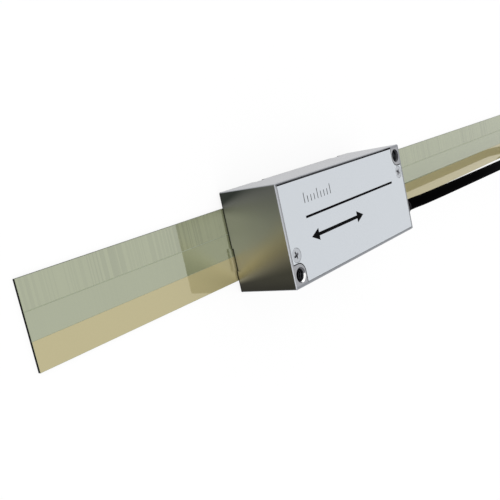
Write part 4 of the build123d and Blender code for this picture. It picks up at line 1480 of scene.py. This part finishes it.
@dataclass
class BendRelief:
    """Rubber sleeve where the lead leaves the head: flange, neck, collar and a ribbed taper.

    Attributes:
        flange_edges: Rounding of the flange's two edges.
        tip_r: Radius of the taper's end.
        lip_l: Length of the plain lip at the tip.
        lip_drop: How much smaller the lip's front is.
        groove: Depth of the first groove.
        groove_fall: Share of the depth that the last one has lost.
    """

    workshop: Workshop
    bore: float = 1.53 * MM
    flange_r: float = 2.4 * MM
    flange_t: float = 1.0 * MM
    flange_edges: tuple[float, float] = (0.15 * MM, 0.1 * MM)
    neck_r: float = 1.95 * MM
    neck_l: float = 1.2 * MM
    neck_edge: float = 0.05 * MM
    collar_r: float = 3.1 * MM
    collar_t: float = 1.2 * MM
    collar_edge: float = 0.2 * MM
    tip_r: float = 1.95 * MM
    lip_l: float = 0.25 * MM
    lip_edge: float = 0.14 * MM
    lip_drop: float = 0.02 * MM
    ribs: int = 4
    groove: float = 0.42 * MM
    groove_fall: float = 0.35
    columns: int = 64
    rows: int = 90

    def build(self) -> bpy.types.Object:
        """Make the sleeve by turning a profile.

        Along the taper the radius falls in line from the collar to the tip, less the groove depth times
        sin^4 of the place along the taper times the ribs' number and pi, and the grooves get shallower
        towards the tip.

        Returns:
            The piece.
        """
        low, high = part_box("bend_relief")
        middle = middle_of("bend_relief")
        collar = low.x + self.flange_t + self.neck_l
        start = collar + self.collar_t
        flange = low.x + self.flange_t
        root = [(low.x, self.bore, 0), (low.x, self.flange_r, self.flange_edges[0]),
                (flange, self.flange_r, self.flange_edges[1]), (flange, self.neck_r, self.neck_edge),
                (collar, self.neck_r, self.neck_edge), (collar, self.collar_r, self.collar_edge),
                (start, self.collar_r, 0.0)]
        t = np.linspace(0, 1, self.rows)[1:]
        x = start + t * (high.x - start - self.lip_l)
        cut = self.groove * np.sin(pi * self.ribs * t) ** 4 * (1 - self.groove_fall * t)
        r = self.collar_r + (self.tip_r - self.collar_r) * t - cut
        lip = [(x[-1], r[-1], 0), (high.x, r[-1] - self.lip_drop, self.lip_edge), (high.x, self.bore, 0)]
        profile = np.vstack([rounded_profile(root), np.column_stack([x, r]), rounded_profile(lip)[1:]])
        mesh = grid_mesh("ribbed_relief", turned(profile, middle.y, middle.z, self.columns), close_rows=True)
        return self.workshop.piece("ribbed_relief", mesh, Body.HEAD, "seal_rubber", SEAL_RUBBER, ("bend_relief",))


@dataclass
class CableTie:
    """A nylon tie round the hank's waist: a toothed strap, its head, and the cut tail.

    A block is given as the radius of its upright corners and that of its upper and lower edges.

    Attributes:
        toothed: Part of the width that has teeth, to each side of the middle.
        section: Powers that make the strap's section flat: across and through.
        walk: Points on which the loop's length is measured.
        head_half: Half length of the head along Y.
        sink: How deep the head stands in the strap.
        slot: Height of the tail's underside over the strap.
        tail_l: Length of the tail past the head.
        tail_in: Where the tail starts, from the middle along Y.
        tail_t: Thickness of the tail, in straps.
        pawl: The pawl's half width, its reach to both sides along Y, and its height.
    """

    workshop: Workshop
    width: float = 4.5 * MM
    strap_t: float = 0.6 * MM
    corner_r: float = 1.4 * MM
    tooth: float = 0.07 * MM
    tooth_pitch: float = 0.62 * MM
    toothed: float = 0.36
    section: tuple[float, float] = (0.35, 0.5)
    steps: int = 420
    walk: int = 801
    strap_sharp: float = 40.0
    sides: int = 20
    head_t: float = 2.6 * MM
    head_half: float = 2.7 * MM
    head_round: tuple[float, float] = (0.8 * MM, 0.35 * MM)
    sink: float = 0.05 * MM
    slot: float = 0.75 * MM
    tail_l: float = 3.4 * MM
    tail_in: float = 2.0 * MM
    tail_t: float = 1.6
    tail_round: tuple[float, float] = (0.3 * MM, 0.15 * MM)
    pawl: tuple[float, float, float, float] = (1.3 * MM, 1.4 * MM, 1.2 * MM, 0.3 * MM)
    pawl_round: tuple[float, float] = (0.3 * MM, 0.1 * MM)

    def build(self) -> bpy.types.Object:
        """Make the strap along its loop and join the head, the tail and the pawl to it.

        Returns:
            The piece.
        """
        low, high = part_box("cable_tie")
        strap_top = high.z - self.head_t
        slot_z = strap_top + self.slot
        x, y, _ = (low + high) / 2
        half, tail_half = (high.x - low.x) / 2, self.width / 2
        pawl_half, pawl_back, pawl_on, pawl_h = self.pawl
        blocks = (
            ("tie_head", (x - half, y - self.head_half, strap_top - self.sink),
             (x + half, y + self.head_half, high.z), self.head_round),
            ("tie_tail", (x - tail_half, y + self.tail_in, slot_z),
             (x + tail_half, y + self.head_half + self.tail_l, slot_z + self.strap_t * self.tail_t),
             self.tail_round),
            ("tie_pawl", (x - pawl_half, y - pawl_back, high.z - pawl_h),
             (x + pawl_half, y + pawl_on, high.z), self.pawl_round),
        )
        meshes = [self._strap(low, Vector((high.x, high.y, strap_top)))]
        meshes += [rounded_block(name, np.array(start), np.array(end), *rounding)
                   for name, start, end, rounding in blocks]
        mesh = joined("nylon_tie", meshes)
        return self.workshop.piece("nylon_tie", mesh, Body.HEAD, "connector_plastic", NYLON, ("cable_tie",))

    def _strap(self, low: Vector, high: Vector) -> bpy.types.Mesh:
        """Make the strap.

        The loop is a rectangle in Y and Z with round corners, walked at even steps. Its section is a flat
        oval, w/2 cos^p by t/2 sin^q of the angle, and a sawtooth as deep as a tooth is cut into its outer side.

        Args:
            low: Lowest corner of the strap.
            high: Highest corner of the strap.

        Returns:
            The closed mesh.
        """
        middle, half = (low + high) / 2, (high - low) / 2
        angle = np.linspace(0, 2 * pi, self.walk)
        way = np.stack([np.cos(angle), np.sin(angle)], -1)
        sign = np.where(way >= 0, 1.0, -1.0)
        core = sign * (np.array([half.y, half.z]) - self.corner_r)
        line = core + way * (self.corner_r - self.strap_t / 2)
        steps = np.linalg.norm(np.diff(line, axis=0), axis=1)
        run = np.concatenate([[0], np.cumsum(steps)])
        even = np.linspace(0, run[-1], self.steps, endpoint=False)
        y, z = (np.interp(even, run, line[:, k]) for k in (0, 1))
        ny, nz = (np.interp(even, run, way[:, k]) for k in (0, 1))
        turn = 2 * pi * (np.arange(self.sides) + 0.5) / self.sides
        across = np.sign(np.cos(turn)) * np.abs(np.cos(turn)) ** self.section[0] * self.width / 2
        out = np.sign(np.sin(turn)) * np.abs(np.sin(turn)) ** self.section[1] * self.strap_t / 2
        saw = (even / self.tooth_pitch) % 1.0
        toothed = (np.abs(across) < self.toothed * self.width) & (out > 0)
        lift = out[None, :] - self.tooth * saw[:, None] * toothed[None, :]
        points = np.stack([
            middle.x + np.repeat(across[None, :], len(even), 0),
            middle.y + y[:, None] + ny[:, None] * lift,
            middle.z + z[:, None] + nz[:, None] * lift,
        ], -1)
        return grid_mesh("tie_strap", points, close_rows=True, sharp=self.strap_sharp)


class Side(Enum):
    """The two columns of turns in the hank."""

    OUTER = 0
    INNER = 1


@dataclass
class Lap:
    """One lap of the hank, and how it moves over to the next one's place.

    Attributes:
        side: The column it starts in.
        layer: The layer it starts in.
        across: First and last station of its move to the other column, if it makes one.
        up: First and last station of its climb to the next layer, if it makes one.
        over: Stations at which it passes over another lap.
    """

    side: Side
    layer: int
    across: tuple[int, int] | None = None
    up: tuple[int, int] | None = None
    over: tuple[int, ...] = ()


@dataclass
class Lead:
    """The lead outside the head: the stretch to the hank, the hank's laps and the short end to the plug.

    Route points are offsets in X and Y from the exit, with their height above the floor. The lead runs on
    beside the hank's near end, comes down, and becomes the first lap at one of that lap's stations.

    Attributes:
        straight: Length of the first stretch, in line with the exit.
        route: Control points from there to the hank.
        joins_at: Station of the first lap at which the route becomes the lap.
        tail: Control points from the hank to the plug.
        hank_run: Length of the hank's straight middle.
        radii: Radius of the outer and of the inner column at the hank's ends.
        first_layer: Height of the first layer's middle.
        pinch: How far the tie draws a run in.
        arc_points: Stations round an end.
        upper: Stations along the upper run, as shares of half the run.
        lower: The same along the lower run.
        humps: Heights in layers by which a lap passes over another.
        steps: The spline's steps between two control points.
        round_steps: Steps on a quarter of the lead's section.
    """

    workshop: Workshop
    diameter: float = 3.0 * MM
    length: float = 0.944
    straight: float = 4.0 * MM
    route: tuple[Point, ...] = (
        (10.0 * MM, -0.18 * MM, 10.28 * MM),
        (50.0 * MM, -0.56 * MM, 10.97 * MM),
        (84.0 * MM, -0.80 * MM, 11.58 * MM),
        (103.0 * MM, -0.95 * MM, 11.9 * MM),
        (113.0 * MM, -1.03 * MM, 12.05 * MM),
        (119.3 * MM, -1.25 * MM, 10.3 * MM),
        (123.5 * MM, -1.6 * MM, 6.9 * MM),
        (127.4 * MM, -2.65 * MM, 3.5 * MM),
        (131.6 * MM, -4.7 * MM, 2.0 * MM),
        (136.0 * MM, -6.75 * MM, 2.1 * MM),
    )
    joins_at: int = 2
    tail: tuple[Point, ...] = (
        (158.0 * MM, -4.5 * MM, 8.1 * MM),
        (166.5 * MM, -4.7 * MM, 8.05 * MM),
        (176.0 * MM, -9.6 * MM, 7.4 * MM),
        (182.5 * MM, -10.3 * MM, 7.25 * MM),
        (188.0 * MM, -10.3 * MM, 7.25 * MM),
    )
    hank_run: float = 46.0 * MM
    radii: tuple[float, float] = (10.8 * MM, 7.8 * MM)
    first_layer: float = 2.1 * MM
    layer_h: float = 3.0 * MM
    pinch: float = 3.3 * MM
    arc_points: int = 5
    upper: tuple[float, ...] = (-1.0, -0.5, 0.0, 0.5, 1.0)
    lower: tuple[float, ...] = (1.0, 0.5, 0.0, -0.26, -0.5, -0.74, -1.0)
    humps: tuple[float, ...] = (0.65, 1.25, 0.65)
    laps: tuple[Lap, ...] = (
        Lap(Side.OUTER, 0, across=(16, 22)),
        Lap(Side.INNER, 0, up=(12, 16)),
        Lap(Side.INNER, 1, across=(10, 12)),
        Lap(Side.OUTER, 1, across=(12, 16), up=(7, 10)),
        Lap(Side.INNER, 2, across=(12, 16), over=(13, 14, 15)),
    )
    last: Lap = field(default_factory=lambda: Lap(Side.OUTER, 2))
    order: int = 3
    steps: int = 6
    round_steps: int = 5

    @staticmethod
    def eased(station: int, span: tuple[int, int] | None) -> float:
        """Share of a move that is done at a station, as a smooth cubic step, or 0 without a move.

        Args:
            station: The station.
            span: First and last station of the move.

        Returns:
            The share.
        """
        if span is None:
            return 0.0
        t = min(max((station - span[0]) / (span[1] - span[0]), 0.0), 1.0)
        return 3 * t**2 - 2 * t**3

    def station(self, k: int, radius: float) -> tuple[float, float]:
        """Find where a lap of a given radius is at a station, from the hank's middle.

        Stations run along the upper run, round the right end, back along the lower run and round the left
        end. Along a run, the radius is drawn in by pinch (1 - |x| / half)^1.5. The spline passes at 1/8, 6/8
        and 1/8 of three control points in a row, so those of an end stand further out than its radius, by
        8 / (6 + 2 cos of the angle between them).

        Args:
            k: The station.
            radius: The lap's radius at its ends.

        Returns:
            X and Y.
        """
        half = self.hank_run / 2
        step = pi / (self.arc_points + 1)
        grow = radius * 8 / (6 + 2 * cos(step))
        ends = (len(self.upper), len(self.upper) + self.arc_points)
        last = ends[1] + len(self.lower)
        if k < ends[0]:
            x = self.upper[k] * half
            return x, radius - self._drawn_in(x / half)
        if k < ends[1]:
            turn = (k - ends[0] + 1) * step
            return half + grow * sin(turn), grow * cos(turn)
        if k < last:
            x = self.lower[k - ends[1]] * half
            return x, self._drawn_in(x / half) - radius
        turn = (k - last + 1) * step
        return -half - grow * sin(turn), -grow * cos(turn)

    def _drawn_in(self, share: float) -> float:
        """How far the tie draws a run in, at a share of half the run from the middle."""
        return self.pinch * (1 - abs(share)) ** 1.5

    def lap_points(self, lap: Lap, count: int, start: int = 0) -> list[Vector]:
        """Return a lap's control points from one station up to another.

        Args:
            lap: The lap.
            count: The station after the last one.
            start: The first station.

        Returns:
            The points.
        """
        middle = middle_of("cable_hank")
        shift = {Side.OUTER: self.radii, Side.INNER: self.radii[::-1]}[lap.side]
        points = []
        for k in range(start, count):
            radius = shift[0] + (shift[1] - shift[0]) * self.eased(k, lap.across)
            x, y = self.station(k, radius)
            hump = self.humps[lap.over.index(k)] if k in lap.over else 0.0
            z = self.first_layer + self.layer_h * (lap.layer + self.eased(k, lap.up) + hump)
            points.append(Vector((middle.x + x, middle.y + y, z)))
        return points

    def points(self) -> list[Vector]:
        """Return every control point of the lead, from its exit to the plug.

        Returns:
            The points.
        """
        low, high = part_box("bend_relief")
        exit_point = Vector((high.x, (low.y + high.y) / 2, (low.z + high.z) / 2))
        made = [exit_point, exit_point + Vector((self.straight, 0, 0))]
        made += [Vector((exit_point.x + x, exit_point.y + y, z)) for x, y, z in self.route]
        stations = len(self.upper) + len(self.lower) + 2 * self.arc_points
        for number, lap in enumerate(self.laps):
            made += self.lap_points(lap, stations, 0 if number else self.joins_at)
        made += self.lap_points(self.last, len(self.upper) - 1)
        made += [Vector((exit_point.x + x, exit_point.y + y, z)) for x, y, z in self.tail]
        return made

    def build(self) -> bpy.types.Object:
        """Make the lead as one smooth spline through its whole route.

        Returns:
            The piece.
        """
        points = self.points()
        curve = bpy.data.curves.new("lead", "CURVE")
        curve.dimensions = "3D"
        spline = curve.splines.new("NURBS")
        spline.points.add(len(points) - 1)
        spline.points.foreach_set("co", np.array([(*p, 1.0) for p in points]).ravel())
        spline.order_u = self.order
        spline.use_endpoint_u = True
        spline.resolution_u = self.steps
        curve.bevel_depth = self.diameter / 2
        curve.bevel_resolution = self.round_steps
        curve.use_fill_caps = True
        return self.workshop.piece("lead", curve, Body.HEAD, "cable_jacket", JACKET,
                                   ("cable_run", "cable_hank", "cable_tail"))


# Connector


@dataclass
class RoundConnector:
    """Back nut, shell, coupling nut, insert and contacts, on a line along X.

    A band of grooves is given by its distances from the rear and the front end and by its rise.

    Attributes:
        nut_rear: Chamfer of the coupling nut's rear edge and its rounding.
        nut_front: The same of its front edge.
        nut_mouth: The same of its threaded hole.
        nut_rows: First row from the rear end, last one from the front end, and number of rows outside.
        thread_rows: First row from the front end, last one from the lip, and number of rows inside.
        ring_d: Depth of the ring before the nut's front end.
        ring_band: Its start and end, both from the front end, and its rise.
        thread_from: Distance from the front end past which the inside rows may be threaded.
        thread_band: The thread's band, between the lip and the front end.
        shell_rows: Distance of the first and the last row from the grip's ends, and number of rows.
        shell_band: Distance of the shell's grooves from both ends of the grip, and their rise.
        stub_wall: Wall between the stub's outside and the shell's hollow.
        stub_play: Play of the stub in the back nut, and the rounding of its mouth there.
        neck_edge: Rounding of inner corners.
        shoulder_edges: Rounding of the shoulder's rear and front edge.
        bore: Radius of the bore for the lead.
        cable_l: Length of that bore.
        back_rim: Length of the back nut's smooth rim before its front end, and its rounding.
        back_rows: Distance of its first row from the cone, and number of rows.
        back_band: Distance of the back nut's grooves from the cone, and their rise.
    """

    workshop: Workshop
    columns: int = 144
    nut_lip: float = 2.6 * MM
    nut_hole_r: float = 4.86 * MM
    nut_thread_r: float = 5.46 * MM
    nut_rear: tuple[float, float] = (0.5 * MM, 0.1 * MM)
    nut_front: tuple[float, float] = (0.75 * MM, 0.2 * MM)
    nut_mouth: tuple[float, float] = (0.45 * MM, 0.1 * MM)
    nut_sharp: float = 40.0
    nut_rows: tuple[float, float, int] = (0.7 * MM, 1.2 * MM, 44)
    thread_rows: tuple[float, float, int] = (0.6 * MM, 0.3 * MM, 132)
    flutes: int = 24
    flute_d: float = 0.4 * MM
    flute_band: tuple[float, float, float] = (1.6 * MM, 3.4 * MM, 0.7 * MM)
    ring_d: float = 0.25 * MM
    ring_band: tuple[float, float, float] = (3.1 * MM, 2.4 * MM, 0.25 * MM)
    thread_from: float = 0.5 * MM
    thread_pitch: float = 1.0 * MM
    thread_d: float = 0.28 * MM
    thread_band: tuple[float, float, float] = (0.4 * MM, 0.4 * MM, 0.5 * MM)
    shell_r: float = 6.2 * MM
    shell_l: float = 17.0 * MM
    shell_edge: float = 0.35 * MM
    shell_rows: tuple[float, int] = (1.0 * MM, 16)
    shell_ribs: int = 12
    shell_rib_d: float = 0.38 * MM
    shell_band: tuple[float, float] = (1.6 * MM, 0.9 * MM)
    stub_r: float = 4.4 * MM
    stub_l: float = 3.95 * MM
    stub_edge: float = 0.2 * MM
    stub_wall: float = 1.0 * MM
    stub_play: float = 0.05 * MM
    neck_r: float = 4.8 * MM
    neck_edge: float = 0.02 * MM
    shoulder_r: float = 5.2 * MM
    shoulder_t: float = 1.0 * MM
    shoulder_edges: tuple[float, float] = (0.1 * MM, 0.15 * MM)
    insert_r: float = 3.95 * MM
    insert_l: float = 8.0 * MM
    bore: float = 1.53 * MM
    cable_l: float = 5.95 * MM
    back_r: float = 5.7 * MM
    back_tip_r: float = 3.6 * MM
    back_tip_edge: float = 0.35 * MM
    back_taper: float = 3.5 * MM
    back_taper_edge: float = 0.5 * MM
    back_rim: tuple[float, float] = (0.8 * MM, 0.25 * MM)
    back_rows: tuple[float, int] = (0.4 * MM, 10)
    back_flutes: int = 20
    back_flute_d: float = 0.3 * MM
    back_band: tuple[float, float] = (0.3 * MM, 0.6 * MM)
    seal_l: float = 3.0 * MM
    seal_r: float = 3.65 * MM

    def build(self) -> list[bpy.types.Object]:
        """Make the three outer pieces and dress the rest.

        Returns:
            The three new pieces.
        """
        dress = self.workshop.dress
        dress(SEAL_RUBBER, "plug_seal", "plug_o_ring")
        dress(JACKET, "plug_cable_end")
        dress(MOULDED_BLACK, "contact_carrier")
        dress(GOLD, "contact_pins")
        return [self._back_nut(), self._shell(), self._coupling_nut()]

    def _turned_piece(self, name: str, node: str, corners: list, relief: Callable, body: Body, slot: str,
                      finish: Finish, sharp: float = SHARP) -> bpy.types.Object:
        """Turn a closed profile about the connector's axis and put the piece in place of a node.

        Args:
            name: The piece's name.
            node: The node that it replaces.
            corners: The profile's corners, as for rounded_profile.
            relief: Depth cut into it, as a function of x and the angle.
            body: The body it rides on.
            slot: A material slot name, handed on to piece, which does not use it.
            finish: Its finish.
            sharp: Angle in degrees past which an edge stays sharp.

        Returns:
            The piece.
        """
        middle = middle_of("contact_carrier")
        points = turned(rounded_profile(corners), middle.y, middle.z, self.columns, relief)
        mesh = grid_mesh(name, points, close_rows=True, sharp=sharp)
        return self.workshop.piece(name, mesh, body, slot, finish, (node,))

    def _back_nut(self) -> bpy.types.Object:
        """Make the clamping nut: a cone, a grip with rounded grooves along it, and a smooth rim.

        The grooves cut |cos(n a / 2)|^6 of their depth at angle a.

        Returns:
            The piece.
        """
        low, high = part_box("plug_back_nut")
        x0, x1 = low.x, high.x
        grip0, grip1 = x0 + self.back_taper, x1 - self.back_rim[0]
        stub_x = x1 - self.stub_l
        seat_r = self.stub_r + self.stub_play
        first, count = self.back_rows
        rows = [(x, self.back_r, 0.0) for x in np.linspace(grip0 + first, grip1, count)]
        corners = [(x0, self.bore, 0), (x0, self.back_tip_r, self.back_tip_edge),
                   (grip0, self.back_r, self.back_taper_edge), *rows,
                   (x1, self.back_r, self.back_rim[1]), (x1, seat_r, self.stub_play), (stub_x, seat_r, 0),
                   (stub_x, self.seal_r, 0), (stub_x - self.seal_l, self.seal_r, 0),
                   (stub_x - self.seal_l, self.bore, 0), (x0, self.bore, 0)]

        def grooves(x: np.ndarray, a: np.ndarray) -> np.ndarray:
            """Depth of the grooves, on the outside only.

            Args:
                x: Places along the axis.
                a: Angles round it.

            Returns:
                The depth at each point.
            """
            shape = np.abs(np.cos(self.back_flutes * a / 2)) ** 6
            start, rise = self.back_band
            return self.back_flute_d * shape * step_window(x, grip0 + start, grip1, rise)

        return self._turned_piece("grip_back_nut", "plug_back_nut", corners, grooves, Body.HEAD,
                                  "connector_plastic", NYLON)

    def _shell(self) -> bpy.types.Object:
        """Make the shell: stub, ribbed grip, neck and shoulder, and its stepped bore.

        The grip's grooves cut |cos(n a / 2)|^10 of their depth at angle a.

        Returns:
            The piece.
        """
        low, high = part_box("plug_shell")
        x0, x1 = low.x, high.x
        grip0 = x0 + self.stub_l
        grip1 = grip0 + self.shell_l
        shoulder, cable_end = x1 - self.shoulder_t, x0 + self.cable_l
        insert0, hollow_r = x1 - self.insert_l, self.stub_r - self.stub_wall
        inset, count = self.shell_rows
        rows = [(x, self.shell_r, 0.0) for x in np.linspace(grip0 + inset, grip1 - inset, count)]
        corners = [(x0, self.bore, 0), (x0, self.stub_r, self.stub_edge), (grip0, self.stub_r, self.neck_edge),
                   (grip0, self.shell_r, self.shell_edge), *rows, (grip1, self.shell_r, self.shell_edge),
                   (grip1, self.neck_r, self.neck_edge), (shoulder, self.neck_r, self.neck_edge),
                   (shoulder, self.shoulder_r, self.shoulder_edges[0]),
                   (x1, self.shoulder_r, self.shoulder_edges[1]), (x1, self.insert_r, 0),
                   (insert0, self.insert_r, 0), (insert0, hollow_r, 0), (cable_end, hollow_r, 0),
                   (cable_end, self.bore, 0), (x0, self.bore, 0)]

        def ribs(x: np.ndarray, a: np.ndarray) -> np.ndarray:
            """Depth of the grip's grooves.

            Args:
                x: Places along the axis.
                a: Angles round it.

            Returns:
                The depth at each point.
            """
            shape = np.abs(np.cos(self.shell_ribs * a / 2)) ** 10
            start, rise = self.shell_band
            return self.shell_rib_d * shape * step_window(x, grip0 + start, grip1 - start, rise)

        return self._turned_piece("grip_shell", "plug_shell", corners, ribs, Body.HEAD, "connector_plastic",
                                  NYLON)

    def _coupling_nut(self) -> bpy.types.Object:
        """Make the coupling nut: round flutes outside, its lip, and a helical thread inside.

        Outside, the flutes cut |sin(n a / 2)|^1.4 of their depth, except on two smooth bands. Inside, the
        thread stands in by 1 - |2 f - 1| of its depth, where f is the fractional part of x over pitch less the
        angle in turns.

        Returns:
            The piece.
        """
        low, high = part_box("coupling_nut")
        x0, x1, r = low.x, high.x, (high.z - low.z) / 2
        thread0 = x0 + self.nut_lip
        rear, front, count = self.nut_rows
        outer = [(x, r, 0.0) for x in np.linspace(x0 + rear, x1 - front, count)]
        front, rear, count = self.thread_rows
        inner = [(x, self.nut_thread_r, 0.0) for x in np.linspace(x1 - front, thread0 + rear, count)]
        corners = [(x0, self.nut_hole_r, 0), (x0, r - self.nut_rear[0], self.nut_rear[1]), *outer,
                   (x1, r - self.nut_front[0], self.nut_front[1]),
                   (x1, self.nut_thread_r + self.nut_mouth[0], self.nut_mouth[1]), *inner,
                   (thread0, self.nut_thread_r, 0), (thread0, self.nut_hole_r, 0), (x0, self.nut_hole_r, 0)]

        def cut(x: np.ndarray, a: np.ndarray) -> np.ndarray:
            """Depth of the flutes on the outside rows and of the thread on the inside rows.

            Args:
                x: Places along the axis.
                a: Angles round it.

            Returns:
                The depth at each point.
            """
            rows = np.arange(len(x))[:, None]
            inside = (rows > np.argmax(x[:, 0])) & (x < x1 - self.thread_from)
            rear, front, rise = self.flute_band
            flute = self.flute_d * np.abs(np.sin(self.flutes * a / 2)) ** 1.4
            flute = flute * step_window(x, x0 + rear, x1 - front, rise)
            rear, front, rise = self.ring_band
            ring = self.ring_d * step_window(x, x1 - rear, x1 - front, rise)
            f = (x / self.thread_pitch - a / (2 * pi)) % 1.0
            rear, front, rise = self.thread_band
            thread = -self.thread_d * (1 - np.abs(2 * f - 1))
            thread = thread * step_window(x, thread0 + rear, x1 - front, rise)
            return np.where(inside, thread, flute + ring)

        return self._turned_piece("fluted_nut", "coupling_nut", corners, cut, Body.COUPLING, "connector_metal",
                                  NICKEL, self.nut_sharp)


# Studio


@dataclass(frozen=True)
class Lamp:
    """A square lamp that looks at the head.

    Attributes:
        size: Side of the lamp.
        power: Power in watts.
    """

    name: str
    place: Point
    size: float
    power: float


@dataclass
class Studio:
    """Pale floor, soft light and the camera at the photo's place.

    Attributes:
        glow: Share of the glow in what camera, gloss and glass see of the floor.
        floor_glow: Strength of that glow.
        sky: Strength of the sky's light; what looks at the sky sees 1.
        lens: Focal length in millimetres.
        sensor: Width of the sensor in millimetres.
        nearest: Nearest distance that the camera sees.
    """

    floor_size: float = 6.0
    floor_colour: Colour = (0.86, 0.86, 0.86)
    glow: float = 0.86
    floor_glow: float = 1.03
    sky: float = 0.86
    lamps: tuple[Lamp, ...] = (
        Lamp("key", (-0.35, -0.25, 0.75), 0.5, 1.0),
        Lamp("fill", (0.3, 0.6, 0.5), 0.6, 0.5),
    )
    camera_at: Point = (-0.22662, 0.02092, 0.09559)
    right: Point = (0.60972737, -0.21446958, 0.76304347)
    up: Point = (0.25914771, 0.9637283, 0.06379839)
    forward: Point = (0.7490494, -0.15884134, -0.64319082)
    lens: float = 51.135
    sensor: float = 36.0
    nearest: float = 0.005

    def build(self) -> None:
        """Set up the floor, the sky, the lamps, the camera and the plain view transform."""
        self._floor()
        self._sky()
        for lamp in self.lamps:
            self._lamp(lamp)
        self._camera()
        bpy.context.scene.view_settings.view_transform = "Standard"

    @staticmethod
    def _seen(sheet: NodeSheet) -> bpy.types.NodeSocket:
        """Return 1 for camera, glossy and transmission rays.

        Args:
            sheet: The nodes to add to.

        Returns:
            1 for such a ray, and 0 for any other.
        """
        path = sheet.add("LightPath")
        both = sheet.maths("ADD", path.outputs["Is Camera Ray"], path.outputs["Is Glossy Ray"])
        return sheet.maths("ADD", both, path.outputs["Is Transmission Ray"], clamp=True)

    def _floor(self) -> None:
        """Lay the floor: plain and pale for the light, near white for what looks at it, with its shadow."""
        half = self.floor_size / 2
        mesh = bpy.data.meshes.new("floor")
        mesh.from_pydata([(-half, -half, 0), (half, -half, 0), (half, half, 0), (-half, half, 0)], [],
                         [(0, 1, 2, 3)])
        floor = bpy.data.objects.new("floor", mesh)
        bpy.context.scene.collection.objects.link(floor)
        made = bpy.data.materials.new("floor")
        made.use_nodes = True
        sheet = NodeSheet(made.node_tree)
        plain = sheet.add("BsdfDiffuse", Color=self.floor_colour)
        glow = sheet.add("Emission", Color=(1.0, 1.0, 1.0), Strength=self.floor_glow)
        share = sheet.maths("MULTIPLY", self._seen(sheet), self.glow)
        mix = sheet.add("MixShader")
        for socket, value in zip(mix.inputs, (share, plain.outputs[0], glow.outputs[0])):
            sheet.feed(socket, value)
        output = sheet.add("OutputMaterial")
        sheet.feed(output.inputs["Surface"], mix.outputs[0])
        mesh.materials.append(made)

    def _sky(self) -> None:
        """Light from all round, and white for what looks at it."""
        world = bpy.data.worlds.new("studio")
        bpy.context.scene.world = world
        world.use_nodes = True
        sheet = NodeSheet(world.node_tree)
        strength = sheet.ramp(self._seen(sheet), 0.0, 1.0, self.sky, 1.0)
        sky = sheet.add("Background", Color=(1.0, 1.0, 1.0), Strength=strength)
        output = sheet.add("OutputWorld")
        sheet.feed(output.inputs["Surface"], sky.outputs[0])

    @staticmethod
    def _lamp(lamp: Lamp) -> None:
        """Hang a lamp.

        Args:
            lamp: What it is like.
        """
        light = bpy.data.lights.new(lamp.name, "AREA")
        light.size = lamp.size
        light.energy = lamp.power
        hung = bpy.data.objects.new(lamp.name, light)
        hung.location = lamp.place
        aim = middle_of("head_housing") - Vector(lamp.place)
        hung.rotation_euler = aim.to_track_quat("-Z", "Y").to_euler()
        bpy.context.scene.collection.objects.link(hung)

    def _camera(self) -> None:
        """Place the camera by its three directions."""
        data = bpy.data.cameras.new("camera")
        data.lens = self.lens
        data.sensor_width = self.sensor
        data.clip_start = self.nearest
        camera = bpy.data.objects.new("camera", data)
        bpy.context.scene.collection.objects.link(camera)
        right, up, back = Vector(self.right), Vector(self.up), -Vector(self.forward)
        turn = Matrix((right, up, back)).transposed().to_4x4()
        camera.matrix_world = Matrix.Translation(Vector(self.camera_at)) @ turn
        bpy.context.scene.camera = camera


def main() -> None:
    logging.basicConfig(level=logging.INFO, format="%(name)s: %(message)s")
    workshop = Workshop()
    GlassScale(workshop).build()
    ScanningHead(workshop).build()
    HeadInside(workshop).build()
    relief = BendRelief(workshop).build()
    tie = CableTie(workshop).build()
    connector = RoundConnector(workshop)
    connector.build()
    lead = Lead(workshop)
    cord = lead.build()
    lead.points()[0]
    Studio().build()


if __name__ == "__main__":
    main()
